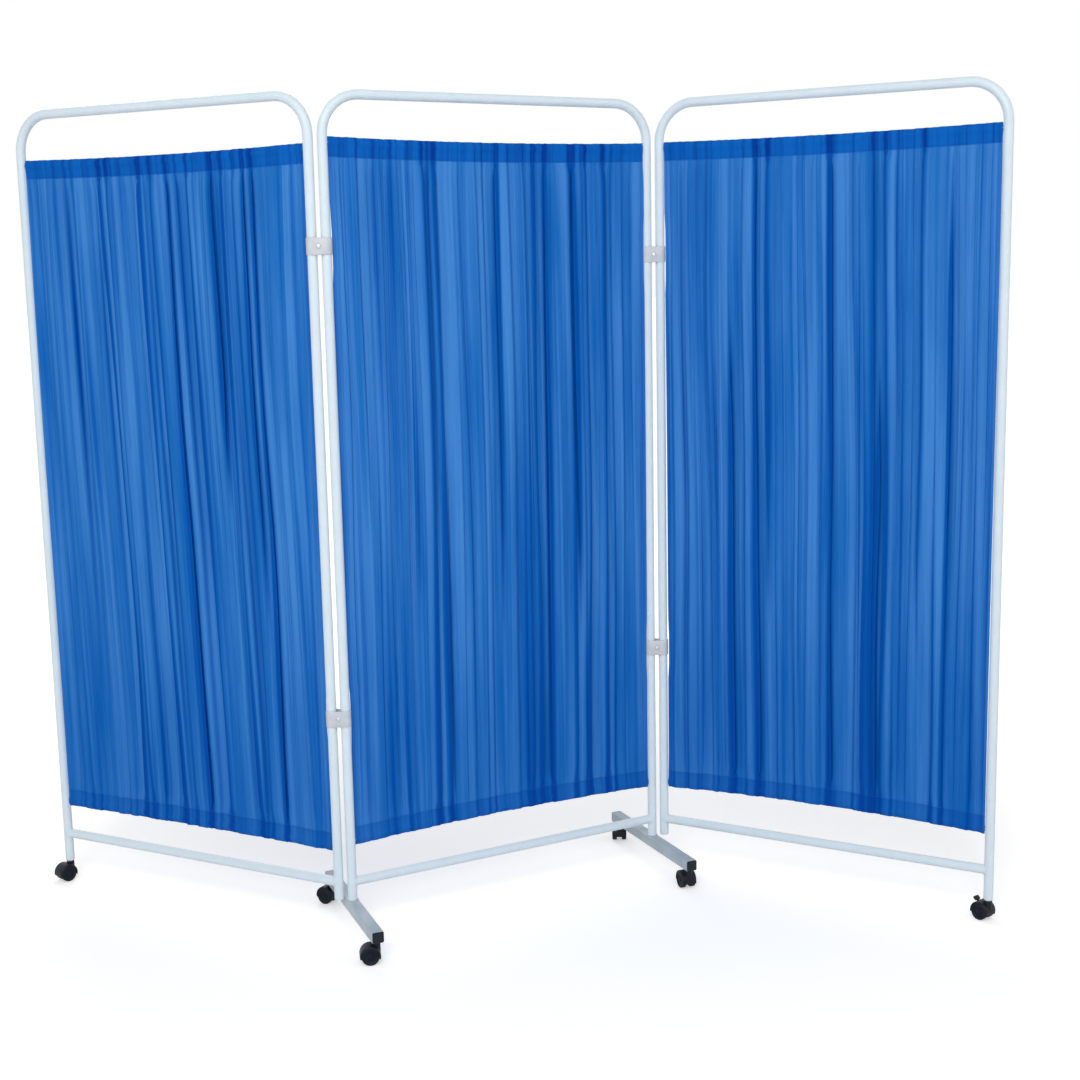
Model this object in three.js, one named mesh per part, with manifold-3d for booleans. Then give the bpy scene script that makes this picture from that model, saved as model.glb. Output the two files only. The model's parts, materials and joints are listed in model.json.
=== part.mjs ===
// Three-panel folding ward screen on castors, in millimetres, +Z up.
// The centre panel lies along X. The model stands on the middle of its bounding box's base.

import * as THREE from 'three';
import { mergeVertices } from 'three/addons/utils/BufferGeometryUtils.js';
import Module from 'manifold-3d';

const wasm = await Module();
wasm.setup();

// Whole screen
const overallHeight = 1720;
const postPitch = 745;        // between the two post centres of one frame
const jointPitch = 28;        // between the two post centres at a joint
const leftFold = 56;          // degrees that the left panel is turned from straight
const rightFold = 58;
const fitGap = 0.3;           // between pieces that touch
const runningGap = 0.35;      // round pieces that turn
const cutOverrun = 5;         // how far a cutting tool runs past the face

// Frame tube
const tubeDiameter = 20;
const tubeWall = 1.5;
const cornerRadius = 78;      // centre line of the two top bends
const railHeight = 110;       // centre of the lower rail above the floor
const railDiameter = 20;
const stubClearance = 2.5;    // closed inner post above the top of the feet
const stubEndWall = 2.5;

// Feet
const footLength = 370;
const footWidth = 25;
const footDepth = 24;
const footWall = 1.5;
const footCorner = 3;
const footCastorInset = 14;   // from the bar's end to the castor stem
const leftFootTurn = -7;      // degrees that a foot is turned from square
const rightFootTurn = -5;
const capFlange = 2.5;
const capInset = 0.8;         // cap face inside the bar's outline

// Curtain rods and the cloth on them
const rodDiameter = 4;
const rodReach = 3;           // rod end past the wall of the post
const clothThickness = 1.2;
const hemHeight = 40;
const headHeight = 11;        // cloth above the rod's centre, or below the lower rod's
const foldCount = 26;
const foldDepth = 9.5;
const ruffleDepth = 2.2;      // small gathers over the rods
const pleatShiftShare = 0.3;  // of a pleat's width that its edge may lie off its even place
const pleatVaryShare = 0.28;  // of the fold depth that differs from pleat to pleat
const wobbleStepShare = 1.7;  // set the pattern of uneven pleats
const wobbleBeatShare = 2.3;
const softGap = 0.8;          // cloth to the clamps and posts

// Hinge clamps
const clampWall = 1.6;
const clampHeight = 34;
const rivetDiameter = 4.4;
const rivetHeadDiameter = 9;
const rivetHeadHeight = 1.6;

// Castors
const wheelDiameter = 36;
const wheelWidth = 10.6;
const wheelEdge = 1.8;
const castorTrail = 13;       // axle behind the stem
const webWidth = 11;
const wheelSideGap = 0.6;
const axleDiameter = 5;
const wheelSkin = 2;          // closed outer face beyond the axle's end
const hoodGap = 1.5;          // round the wheels
const hoodWall = 1.9;
const hoodStart = -12;        // degrees above level behind the axle
const hoodEnd = 196;          // degrees, in front of the stem
const neckDiameter = 17;
const neckRise = 4.4;         // neck above the top of the hood
const neckLength = 14;
const pinDiameter = 6;
const pinLength = 18;
const collarDiameter = 17;
const collarHeight = 1.6;
const collarSeatGap = 0.3;    // swivelling body under the fixed collar
const stemPlugLength = 17;

// Brake pedal
const pedalAngle = 58;        // degrees above level where the pedal leaves the hood
const pedalLean = 16;         // degrees that its plate leans back from the rib
const pedalRibWidth = 4;
const pedalRibDepth = 5;
const pedalWidth = 17;
const pedalLength = 10;
const pedalThickness = 2.6;
const pedalPivotRadius = 14;  // pivot from the axle
const pedalPinDiameter = 3;
const pedalPinLength = 8;
const pedalGap = 0.8;         // plate above the hood, and rib in its slot
const pedalSlotSpread = 17;   // degrees of hood cut away each side of the rib

// Facets
const tubeSides = 16;
const boreSides = 8;
const bendSteps = 6;
const rodSides = 6;
const rodSteps = 4;
const wheelSides = 20;
const roundSides = 12;
const arcSteps = 6;
const footCornerSteps = 2;

// Panels: top rod below the top of the screen and bottom rod above the rail, both at the posts,
// and how far the cloth pulls the rods down or up at their middle
const panels = {
  left: { topDrop: 113, bottomLift: 77, topSag: 6, bottomRise: 4, seed: 1.3 },
  center: { topDrop: 101, bottomLift: 88, topSag: 7, bottomRise: 10, seed: 3.1 },
  right: { topDrop: 100, bottomLift: 87, topSag: 5, bottomRise: 11, seed: 5.2 },
};

// Centres of the hinge clamps, the upper below the top of the screen, the lower above the rail
const clampPlaces = {
  left: { upperDrop: 301, lowerLift: 353 },
  right: { upperDrop: 327, lowerLift: 406 },
};

// Way that each castor trails at rest, in degrees about +Z from +X
const castorSwivels = {
  left_outer: -163,
  right_outer: 100,
  left_foot_front: 160,
  left_foot_rear: 120,
  right_foot_front: 80,
  right_foot_rear: 60,
};

// Worked out from the sizes above
const tubeRadius = tubeDiameter / 2;
const boreRadius = tubeRadius - tubeWall;
const rodRadius = rodDiameter / 2;
const wheelRadius = wheelDiameter / 2;
const axleRadius = axleDiameter / 2;
const clampInner = tubeRadius + runningGap;
const clampOuter = clampInner + clampWall;
const clothHalfWidth = postPitch / 2 - clampOuter - softGap;
const pinRadius = pinDiameter / 2;
const hoodInner = wheelRadius + hoodGap;
const hoodOuter = hoodInner + hoodWall;
const hoodTop = wheelRadius + hoodOuter;
const neckTop = hoodTop + neckRise;
const collarBottom = neckTop + collarSeatGap;
const collarTop = collarBottom + collarHeight;
const castorHeight = collarTop + fitGap;     // underside of what stands on a castor
const footTop = castorHeight + footDepth;
const castorWidth = webWidth + 2 * (wheelSideGap + wheelWidth);

// Materials
const finish = (color, roughness, metalness = 0) =>
  new THREE.MeshStandardMaterial({ color, roughness, metalness });
const whitePowder = finish(0xdfe5ec, 0.38);
const footPowder = finish(0xb4c0ca, 0.45);
const blueCloth = finish(0x3a74c0, 0.85);
const clampGrey = finish(0xcfd0d0, 0.5);
const blackPlastic = finish(0x14171c, 0.4);
const blackTread = finish(0x1b1e24, 0.6);
const zincSteel = finish(0xb9bcc0, 0.35, 0.9);

// A path with its rings where they are wanted: straight runs take no steps
class RingPath extends THREE.Curve {
  constructor(points, tangents) {
    super();
    this.points = points;
    this.tangents = tangents;
  }
  at(list, t) {
    return list[Math.round(t * (list.length - 1))];
  }
  getPoint(t, target = new THREE.Vector3()) {
    return target.copy(this.at(this.points, t));
  }
  getPointAt(t, target) {
    return this.getPoint(t, target);
  }
  getTangent(t, target = new THREE.Vector3()) {
    return target.copy(this.at(this.tangents, t));
  }
  getTangentAt(t, target) {
    return this.getTangent(t, target);
  }
}

function signedVolume(geometry) {
  const p = geometry.getAttribute('position');
  const index = geometry.index;
  const corner = [new THREE.Vector3(), new THREE.Vector3(), new THREE.Vector3()];
  let sum = 0;
  for (let i = 0; i < index.count; i += 3) {
    corner.forEach((v, k) => v.fromBufferAttribute(p, index.getX(i + k)));
    sum += corner[0].dot(corner[1].cross(corner[2]));
  }
  return sum;
}

// Closed geometry to a solid whose faces point out
function solid(geometry) {
  geometry.deleteAttribute('normal');
  geometry.deleteAttribute('uv');
  const merged = mergeVertices(geometry);
  const triVerts = Uint32Array.from(merged.index.array);
  if (signedVolume(merged) < 0) {
    for (let i = 0; i < triVerts.length; i += 3) {
      [triVerts[i + 1], triVerts[i + 2]] = [triVerts[i + 2], triVerts[i + 1]];
    }
  }
  const vertProperties = Float32Array.from(merged.getAttribute('position').array);
  return new wasm.Manifold(new wasm.Mesh({ numProp: 3, vertProperties, triVerts }));
}

function mesh(name, body, material) {
  const { vertProperties, triVerts } = body.getMesh();
  const geometry = new THREE.BufferGeometry();
  geometry.setAttribute('position', new THREE.BufferAttribute(vertProperties, 3));
  geometry.setIndex(new THREE.BufferAttribute(triVerts, 1));
  geometry.computeVertexNormals();
  const piece = new THREE.Mesh(geometry, material);
  piece.name = name;
  return piece;
}

const radians = THREE.MathUtils.degToRad;
const polygon = (radius, sides, turn = 0) =>
  Array.from({ length: sides }, (_, i) => {
    const a = turn + (2 * Math.PI * i) / sides;
    return new THREE.Vector2(radius * Math.cos(a), radius * Math.sin(a));
  });

function tubeAlong(path, radius, sides) {
  const section = new THREE.Shape(polygon(radius, sides));
  const steps = path.points.length - 1;
  return solid(new THREE.ExtrudeGeometry(section, { extrudePath: path, steps }));
}

// Cylinder between two points
function rod(radius, from, to, sides = roundSides) {
  const along = new THREE.Vector3().subVectors(to, from);
  const geometry = new THREE.CylinderGeometry(radius, radius, along.length(), sides);
  const turn = new THREE.Quaternion().setFromUnitVectors(
    new THREE.Vector3(0, 1, 0), along.clone().normalize());
  geometry.applyQuaternion(turn);
  geometry.translate(...from.clone().addScaledVector(along, 0.5).toArray());
  return solid(geometry);
}

const at = (x, y, z) => new THREE.Vector3(x, y, z);

// Outline drawn in X and Z, run symmetrically along Y
function slab(shape, width, curveSegments = arcSteps) {
  const settings = { depth: width, bevelEnabled: false, curveSegments };
  const geometry = new THREE.ExtrudeGeometry(shape, settings);
  geometry.translate(0, 0, -width / 2);
  geometry.rotateX(Math.PI / 2);
  return solid(geometry);
}

function turned(profile, sides = roundSides) {
  return solid(new THREE.LatheGeometry(profile.map(([r, z]) => new THREE.Vector2(r, z)), sides)
    .rotateX(Math.PI / 2));
}

function roundedRectangle(width, height, radius) {
  const shape = new THREE.Shape();
  const x = width / 2 - radius;
  const y = height / 2 - radius;
  const quarter = Math.PI / 2;
  shape.absarc(x, y, radius, 0, quarter);
  shape.absarc(-x, y, radius, quarter, 2 * quarter);
  shape.absarc(-x, -y, radius, 2 * quarter, 3 * quarter);
  shape.absarc(x, -y, radius, 3 * quarter, 4 * quarter);
  return shape;
}

// Frames

// Up the first post, round two bends and down the second, from one height to another
function framePath(firstFoot, secondFoot) {
  const points = [];
  const tangents = [];
  const half = postPitch / 2;
  const topCentre = overallHeight - tubeRadius;
  const bendHeight = topCentre - cornerRadius;
  const add = (x, z, tx, tz) => {
    points.push(at(x, 0, z));
    tangents.push(at(tx, 0, tz));
  };
  add(-half, firstFoot, 0, 1);
  for (const side of [-1, 1]) {
    for (let i = 0; i <= bendSteps; i += 1) {
      const a = (Math.PI / 2) * (side < 0 ? i / bendSteps : 1 - i / bendSteps);
      const x = side * (half - cornerRadius + cornerRadius * Math.cos(a));
      add(x, bendHeight + cornerRadius * Math.sin(a), Math.sin(a), -side * Math.cos(a));
    }
  }
  add(half, secondFoot, 0, -1);
  return new RingPath(points, tangents);
}

const topRodHeight = ({ topDrop }) => overallHeight - topDrop;
const bottomRodHeight = ({ bottomLift }) => railHeight + bottomLift;

// feet gives each post's lower end and whether a wall closes it
function frame(feet, rods) {
  const [first, second] = feet;
  const inside = (post) => (post.closed ? post.z + stubEndWall : post.z - cutOverrun);
  return tubeAlong(framePath(first.z, second.z), tubeRadius, tubeSides)
    .subtract(tubeAlong(framePath(inside(first), inside(second)), boreRadius, boreSides))
    .subtract(curtainRod(topRodHeight(rods), rods.topSag, runningGap))
    .subtract(curtainRod(bottomRodHeight(rods), -rods.bottomRise, runningGap));
}

// Saddled between the two posts, just clear of them
function rail() {
  const half = postPitch / 2;
  let body = rod(railDiameter / 2, at(-half, 0, railHeight), at(half, 0, railHeight), tubeSides);
  body = body.subtract(rod(railDiameter / 2 - tubeWall, at(-half - cutOverrun, 0, railHeight),
    at(half + cutOverrun, 0, railHeight), boreSides));
  for (const side of [-1, 1]) {
    const post = [at(side * half, 0, railHeight - tubeDiameter),
      at(side * half, 0, railHeight + tubeDiameter)];
    body = body.subtract(rod(tubeRadius + fitGap, ...post, tubeSides));
  }
  return body;
}

// Rods and curtains

const sagShare = (x) => 1 - (2 * x / postPitch) ** 2;

// The rod bends under the gathered cloth and its ends sit in holes of the posts.
// With a gap it is the cutter for those holes and for the tunnel in a hem.
function curtainRod(height, sag, gap = 0) {
  const reach = postPitch / 2 - boreRadius + rodReach;
  const points = [];
  const tangents = [];
  for (let i = 0; i <= rodSteps; i += 1) {
    const x = reach * (2 * i / rodSteps - 1);
    points.push(at(x, 0, height - sag * sagShare(x)));
    tangents.push(at(1, 0, 8 * sag * x / postPitch ** 2).normalize());
  }
  return tubeAlong(new RingPath(points, tangents), rodRadius + gap, rodSides);
}

// Pleats of uneven width and depth, gathered tight over the rods and open between the hems
function curtain(rods) {
  const { topSag, bottomRise, seed } = rods;
  const topRod = topRodHeight(rods);
  const bottomRod = bottomRodHeight(rods);
  const columns = 2 * foldCount;
  const wobbleShare = (i, k) =>
    Math.sin(seed * (i + 1) * (k + wobbleStepShare)) * Math.cos(seed + i * wobbleBeatShare * k);
  const xOf = (i) => {
    const pullShare = i === 0 || i === columns ? 0 : pleatShiftShare * wobbleShare(i, 1);
    return clothHalfWidth * (2 * (i + pullShare) / columns - 1);
  };
  const depthShare = (i, k) =>
    (i % 2 ? -1 : 1) * (1 - pleatVaryShare + pleatVaryShare * wobbleShare(i, k));
  const sleeve = rodRadius + runningGap + clothThickness;
  const half = clothThickness / 2;
  const top = (x, up) => topRod - topSag * sagShare(x) + up;
  const bottom = (x, up) => bottomRod + bottomRise * sagShare(x) + up;
  const rows = [
    { z: (x) => bottom(x, -headHeight), fold: ruffleDepth, wall: half },
    { z: (x) => bottom(x, 0), fold: 0, wall: sleeve, ruffle: ruffleDepth },
    { z: (x) => bottom(x, headHeight), fold: ruffleDepth, wall: half },
    { z: (x) => bottom(x, hemHeight + headHeight), fold: foldDepth, wall: half },
    { z: (x) => top(x, -hemHeight - headHeight), fold: foldDepth, wall: half },
    { z: (x) => top(x, -headHeight), fold: ruffleDepth, wall: half },
    { z: (x) => top(x, 0), fold: 0, wall: sleeve, ruffle: ruffleDepth },
    { z: (x) => top(x, headHeight), fold: ruffleDepth, wall: half },
  ];
  const positions = [];
  rows.forEach(({ z, fold, wall, ruffle = 0 }, k) => {
    for (const side of [-1, 1]) {
      for (let i = 0; i <= columns; i += 1) {
        const x = xOf(i);
        const wave = depthShare(i, k);
        positions.push(x, fold * wave + side * (wall + ruffle * Math.max(side * wave, 0)), z(x));
      }
    }
  });
  const stride = columns + 1;
  const vertex = (k, side, i) => (2 * k + side) * stride + i;
  const index = [];
  const quad = (a, b, c, d) => index.push(a, b, c, a, c, d);
  for (let k = 0; k + 1 < rows.length; k += 1) {
    for (let i = 0; i < columns; i += 1) {
      quad(vertex(k, 0, i), vertex(k, 0, i + 1), vertex(k + 1, 0, i + 1), vertex(k + 1, 0, i));
      quad(vertex(k, 1, i), vertex(k + 1, 1, i), vertex(k + 1, 1, i + 1), vertex(k, 1, i + 1));
    }
    quad(vertex(k, 1, 0), vertex(k, 0, 0), vertex(k + 1, 0, 0), vertex(k + 1, 1, 0));
    quad(vertex(k, 0, columns), vertex(k, 1, columns), vertex(k + 1, 1, columns),
      vertex(k + 1, 0, columns));
  }
  const last = rows.length - 1;
  for (let i = 0; i < columns; i += 1) {
    quad(vertex(0, 1, i), vertex(0, 1, i + 1), vertex(0, 0, i + 1), vertex(0, 0, i));
    quad(vertex(last, 0, i), vertex(last, 0, i + 1), vertex(last, 1, i + 1), vertex(last, 1, i));
  }
  const geometry = new THREE.BufferGeometry();
  geometry.setAttribute('position', new THREE.Float32BufferAttribute(positions, 3));
  geometry.setIndex(index);
  return solid(geometry)
    .subtract(curtainRod(topRod, topSag, runningGap))
    .subtract(curtainRod(bottomRod, -bottomRise, runningGap));
}

// Hinge clamps, drawn about the middle between two posts that stand along X

function stadium(radius) {
  const shape = new THREE.Shape();
  const quarter = Math.PI / 2;
  shape.absarc(jointPitch / 2, 0, radius, -quarter, quarter);
  shape.absarc(-jointPitch / 2, 0, radius, quarter, 3 * quarter);
  return shape;
}

function clamp() {
  const outline = stadium(clampOuter);
  outline.holes.push(stadium(clampInner));
  const settings = { depth: clampHeight, bevelEnabled: false, curveSegments: arcSteps };
  const band = solid(new THREE.ExtrudeGeometry(outline, settings)
    .translate(0, 0, -clampHeight / 2));
  const reach = clampOuter + cutOverrun;
  return band.subtract(rod(rivetDiameter / 2 + fitGap, at(0, -reach, 0), at(0, reach, 0)));
}

function rivet() {
  const inner = clampOuter + fitGap;
  const outer = inner + rivetHeadHeight;
  const head = rivetHeadDiameter / 2;
  const shank = rivetDiameter / 2;
  const crown = rivetHeadHeight / 2;
  return turned([[0, -outer], [head - crown, -outer], [head, -inner - crown], [head, -inner],
    [shank, -inner], [shank, inner], [head, inner], [head, inner + crown],
    [head - crown, outer], [0, outer]]).rotate([90, 0, 0]);
}

// Feet, drawn along Y about the post

function foot() {
  const outline = roundedRectangle(footWidth, footDepth, footCorner);
  outline.holes.push(roundedRectangle(footWidth - 2 * footWall, footDepth - 2 * footWall,
    footCorner - footWall));
  let body = slab(outline, footLength, footCornerSteps).translate([0, 0, castorHeight + footDepth / 2]);
  for (const side of [-1, 1]) {
    const y = side * (footLength / 2 - footCastorInset);
    body = body.subtract(rod(boreRadius, at(0, y, castorHeight - cutOverrun),
      at(0, y, castorHeight + footDepth / 2), tubeSides));
  }
  return body;
}

// Face and plug of one bar end, on the +Y side
function footCap() {
  const face = roundedRectangle(footWidth - 2 * capInset, footDepth - 2 * capInset, footCorner);
  const inner = 2 * (footWall + fitGap);
  const plug = roundedRectangle(footWidth - inner, footDepth - inner, footCorner - footWall);
  const plugLength = footCastorInset - boreRadius - fitGap;
  const flange = slab(face, capFlange, footCornerSteps)
    .translate([0, footLength / 2 + fitGap + capFlange / 2, 0]);
  return flange
    .add(slab(plug, plugLength + capFlange / 2, footCornerSteps)
      .translate([0, footLength / 2 + fitGap - plugLength / 2 + capFlange / 4, 0]))
    .translate([0, 0, castorHeight + footDepth / 2]);
}

// Castors, drawn with the stem on Z and the axle behind it towards +X

// Fixed in the post or foot: a plug in the bore, a collar under it and the swivel pin
function stem() {
  const plug = boreRadius * Math.cos(Math.PI / boreSides) - fitGap;
  const collar = collarDiameter / 2;
  const top = collarTop + stemPlugLength;
  return turned([[0, collarBottom - pinLength], [pinRadius, collarBottom - pinLength],
    [pinRadius, collarBottom], [collar, collarBottom], [collar, collarTop], [plug, collarTop],
    [plug, top], [0, top]]);
}

function hoodArc(inner, outer, from, to) {
  const shape = new THREE.Shape();
  shape.absarc(castorTrail, wheelRadius, outer, radians(from), radians(to));
  shape.absarc(castorTrail, wheelRadius, inner, radians(to), radians(from), true);
  return shape;
}

const pedalPivot = [
  castorTrail + pedalPivotRadius * Math.cos(radians(pedalAngle)),
  wheelRadius + pedalPivotRadius * Math.sin(radians(pedalAngle)),
];

function castorBody(braked) {
  const web = new THREE.Shape();
  web.absarc(castorTrail, wheelRadius, hoodInner + hoodWall / 2, radians(hoodStart), radians(hoodEnd));
  const holeFloor = collarBottom - pinLength - collarSeatGap;
  const half = castorWidth / 2;
  const wheelRoom = rod(hoodInner, at(castorTrail, -half, wheelRadius), at(castorTrail, half, wheelRadius),
    wheelSides);
  const neck = rod(neckDiameter / 2, at(0, 0, neckTop - neckLength), at(0, 0, neckTop))
    .subtract(wheelRoom);
  let body = slab(hoodArc(hoodInner, hoodOuter, hoodStart, hoodEnd), castorWidth)
    .add(slab(web, webWidth))
    .add(rod(webWidth / 2, at(0, 0, wheelRadius), at(0, 0, neckTop)))
    .add(neck);
  body = body
    .subtract(rod(pinRadius + runningGap, at(0, 0, holeFloor), at(0, 0, neckTop + cutOverrun)))
    .subtract(rod(axleRadius + fitGap, at(castorTrail, -webWidth, wheelRadius),
      at(castorTrail, webWidth, wheelRadius)));
  if (braked) {
    const slot = hoodArc(pedalPivotRadius - pedalRibDepth / 2 - pedalGap, hoodOuter + cutOverrun,
      pedalAngle - pedalSlotSpread, pedalAngle + pedalSlotSpread);
    const [x, z] = pedalPivot;
    body = body
      .subtract(slab(slot, pedalRibWidth + 2 * pedalGap))
      .subtract(rod(pedalPinDiameter / 2 + runningGap, at(x, -pedalPinLength / 2 - fitGap, z),
        at(x, pedalPinLength / 2 + fitGap, z)));
  }
  return body;
}

function axle() {
  const half = castorWidth / 2 - wheelSkin - fitGap;
  return rod(axleRadius, at(castorTrail, -half, wheelRadius), at(castorTrail, half, wheelRadius));
}

// One wheel, its inner face towards the web; a flat of the tread lies on the floor
function wheel(side) {
  const facet = wheelRadius / Math.cos(Math.PI / wheelSides);
  const hub = axleRadius + runningGap;
  const inner = webWidth / 2 + wheelSideGap;
  const outer = inner + wheelWidth;
  const profile = [[0, outer], [facet - wheelEdge, outer], [facet, outer - wheelEdge],
    [facet, inner], [hub, inner], [hub, outer - wheelSkin], [0, outer - wheelSkin]];
  const flatDown = 180 / wheelSides;
  return turned(profile, wheelSides)
    .rotate([0, 0, flatDown])
    .rotate([side > 0 ? -90 : 90, 0, 0])
    .translate([castorTrail, 0, wheelRadius]);
}

// Rib in the web's slot on its own pin, and a plate that stands out of the hood
function brakePedal() {
  const root = hoodOuter + pedalGap - pedalPivotRadius;
  const half = pedalRibDepth / 2;
  const rib = new THREE.Shape();
  rib.absarc(0, 0, half, Math.PI / 2, 3 * Math.PI / 2);
  rib.lineTo(root + pedalThickness, -half);
  rib.lineTo(root + pedalThickness, half);
  const plate = new THREE.BoxGeometry(pedalLength, pedalWidth, pedalThickness)
    .translate(pedalLength / 2, 0, 0)
    .rotateY(radians(pedalLean))
    .translate(root + pedalThickness * Math.sin(radians(pedalLean)) / 2, 0, 0);
  const pin = rod(pedalPinDiameter / 2, at(0, -pedalPinLength / 2, 0), at(0, pedalPinLength / 2, 0));
  const [x, z] = pedalPivot;
  return slab(rib, pedalRibWidth)
    .add(solid(plate))
    .add(pin)
    .rotate([0, -pedalAngle, 0])
    .translate([x, 0, z]);
}

function castor(name, braked = false) {
  const group = new THREE.Group();
  group.add(mesh(`${name}_castor_body`, castorBody(braked), blackPlastic));
  group.add(mesh(`${name}_castor_axle`, axle(), zincSteel));
  group.add(mesh(`${name}_castor_wheel_a`, wheel(1), blackTread));
  group.add(mesh(`${name}_castor_wheel_b`, wheel(-1), blackTread));
  if (braked) group.add(mesh(`${name}_brake_pedal`, brakePedal(), blackPlastic));
  return group;
}

// A castor and its stem at a place of the group that it stands under
function addCastor(group, name, x, y, groupTurn, braked) {
  const carrier = new THREE.Group();
  carrier.position.set(x, y, 0);
  carrier.add(mesh(`${name}_castor_stem`, stem(), zincSteel));
  const swivel = castor(name, braked);
  swivel.rotation.z = radians(castorSwivels[name]) - groupTurn;
  carrier.add(swivel);
  group.add(carrier);
}

// Frame, rail, rods and curtain of one panel, drawn along X
function panel(name, feet) {
  const rods = panels[name];
  const topRod = curtainRod(topRodHeight(rods), rods.topSag);
  const bottomRod = curtainRod(bottomRodHeight(rods), -rods.bottomRise);
  const group = new THREE.Group();
  group.add(mesh(`${name}_frame`, frame(feet, rods), whitePowder));
  group.add(mesh(`${name}_rail`, rail(), whitePowder));
  group.add(mesh(`${name}_top_rod`, topRod, zincSteel));
  group.add(mesh(`${name}_bottom_rod`, bottomRod, zincSteel));
  group.add(mesh(`${name}_curtain`, curtain(rods), blueCloth));
  return group;
}

const onFoot = { z: footTop + fitGap, closed: false };
const onCastor = { z: castorHeight, closed: false };
const hanging = { z: footTop + stubClearance, closed: true };

function centrePanel() {
  const group = panel('center', [onFoot, onFoot]);
  for (const [side, name, turn] of [[-1, 'left', leftFootTurn], [1, 'right', rightFootTurn]]) {
    const carrier = new THREE.Group();
    carrier.position.x = side * postPitch / 2;
    carrier.rotation.z = radians(turn);
    carrier.add(mesh(`${name}_foot`, foot(), footPowder));
    for (const [end, where] of [[-1, 'front'], [1, 'rear']]) {
      const cap = mesh(`${name}_foot_${where}_cap`, footCap(), blackPlastic);
      cap.rotation.z = end > 0 ? 0 : Math.PI;
      carrier.add(cap);
      const y = end * (footLength / 2 - footCastorInset);
      addCastor(carrier, `${name}_foot_${where}`, 0, y, radians(turn), false);
    }
    group.add(carrier);
  }
  return group;
}

// side is -1 at the left. The joint's two posts are jointPitch apart, half the fold from straight
function sidePanel(side, name, fold) {
  const halfFold = radians(fold / 2);
  const joint = new THREE.Group();
  joint.position.x = side * postPitch / 2;
  joint.rotation.z = -halfFold;
  const middle = side * jointPitch / 2;
  const { upperDrop, lowerLift } = clampPlaces[name];
  for (const [where, z] of [['upper', overallHeight - upperDrop], ['lower', railHeight + lowerLift]]) {
    const band = mesh(`${name}_${where}_clamp`, clamp(), clampGrey);
    const pin = mesh(`${name}_${where}_clamp_rivet`, rivet(), zincSteel);
    band.position.set(middle, 0, z);
    pin.position.set(middle, 0, z);
    joint.add(band, pin);
  }
  const outerPost = side * postPitch / 2;
  const leaf = panel(name, side < 0 ? [onCastor, hanging] : [hanging, onCastor]);
  leaf.position.x = side * postPitch / 2;
  addCastor(leaf, `${name}_outer`, outerPost, 0, -2 * halfFold, side > 0);
  const swing = new THREE.Group();
  swing.position.x = side * jointPitch;
  swing.rotation.z = -halfFold;
  swing.add(leaf);
  joint.add(swing);
  return joint;
}

const screen = new THREE.Group();
screen.add(centrePanel());
screen.add(sidePanel(-1, 'left', leftFold));
screen.add(sidePanel(1, 'right', rightFold));
screen.updateMatrixWorld(true);

// The middle of the base becomes the origin
const extent = new THREE.Box3().setFromObject(screen, true);
const middle = extent.getCenter(new THREE.Vector3());
screen.position.set(-middle.x, -middle.y, -extent.min.z);

const model = new THREE.Group();
model.add(screen);

export default model;
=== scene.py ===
import json
import math
import bpy
import bmesh
import numpy as np
from mathutils import Matrix, Vector


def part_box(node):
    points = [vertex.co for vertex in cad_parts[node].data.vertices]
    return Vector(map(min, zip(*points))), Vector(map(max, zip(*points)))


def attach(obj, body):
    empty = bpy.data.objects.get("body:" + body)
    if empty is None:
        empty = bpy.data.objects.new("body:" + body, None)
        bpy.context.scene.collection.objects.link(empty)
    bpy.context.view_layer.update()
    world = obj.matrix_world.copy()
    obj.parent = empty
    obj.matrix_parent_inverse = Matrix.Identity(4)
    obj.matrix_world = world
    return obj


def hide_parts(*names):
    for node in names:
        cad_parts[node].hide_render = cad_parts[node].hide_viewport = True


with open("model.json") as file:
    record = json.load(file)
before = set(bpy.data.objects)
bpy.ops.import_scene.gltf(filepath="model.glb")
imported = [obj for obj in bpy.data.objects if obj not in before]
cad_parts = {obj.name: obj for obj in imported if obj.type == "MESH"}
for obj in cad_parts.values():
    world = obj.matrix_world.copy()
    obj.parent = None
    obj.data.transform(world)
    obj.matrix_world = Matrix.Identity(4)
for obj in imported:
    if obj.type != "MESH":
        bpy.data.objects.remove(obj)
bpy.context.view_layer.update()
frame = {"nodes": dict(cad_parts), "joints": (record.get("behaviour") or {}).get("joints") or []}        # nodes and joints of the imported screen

joints = {joint["name"]: joint for joint in frame["joints"]}
mm = 0.001

# The camera stands where the photograph was taken, measured from the middle of the centre
# panel's base: X runs along that panel and Y away from the viewer. Angles in degrees.
cameraSettings = {
    "place": (-1.5735, -3.0407, 1.3656),
    "yaw": 28.71,
    "pitch": 9.44,
    "roll": 1.15,
    "focalPixels": 1627.3,
    "imagePixels": 1080,
    "sensor": 36.0,
}


def jointPlace(name):
    x, y, _ = joints[name]["pos_m"]
    return Vector((x, y, 0))


def standingAt(origin, along):
    ex = along.normalized()
    ez = Vector((0, 0, 1))
    place = Matrix((ex, ez.cross(ex), ez)).transposed().to_4x4()
    place.translation = origin
    return place


# Ends of the three panels, left to right, at the centres of their posts
panelEnds = {
    "left": (jointPlace("left_outer_swivel"), jointPlace("left_panel_fold")),
    "center": (jointPlace("left_hinge_fold"), jointPlace("right_hinge_fold")),
    "right": (jointPlace("right_panel_fold"), jointPlace("right_outer_swivel")),
}
panelPlace = {name: standingAt((a + b) / 2, b - a) for name, (a, b) in panelEnds.items()}
panelBody = {"left": "left_panel", "center": "center_panel", "right": "right_panel"}
postPitch = (panelEnds["center"][1] - panelEnds["center"][0]).length


def placed(name, data):
    piece = bpy.data.objects.new(name, data)
    bpy.context.scene.collection.objects.link(piece)
    return piece


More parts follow.
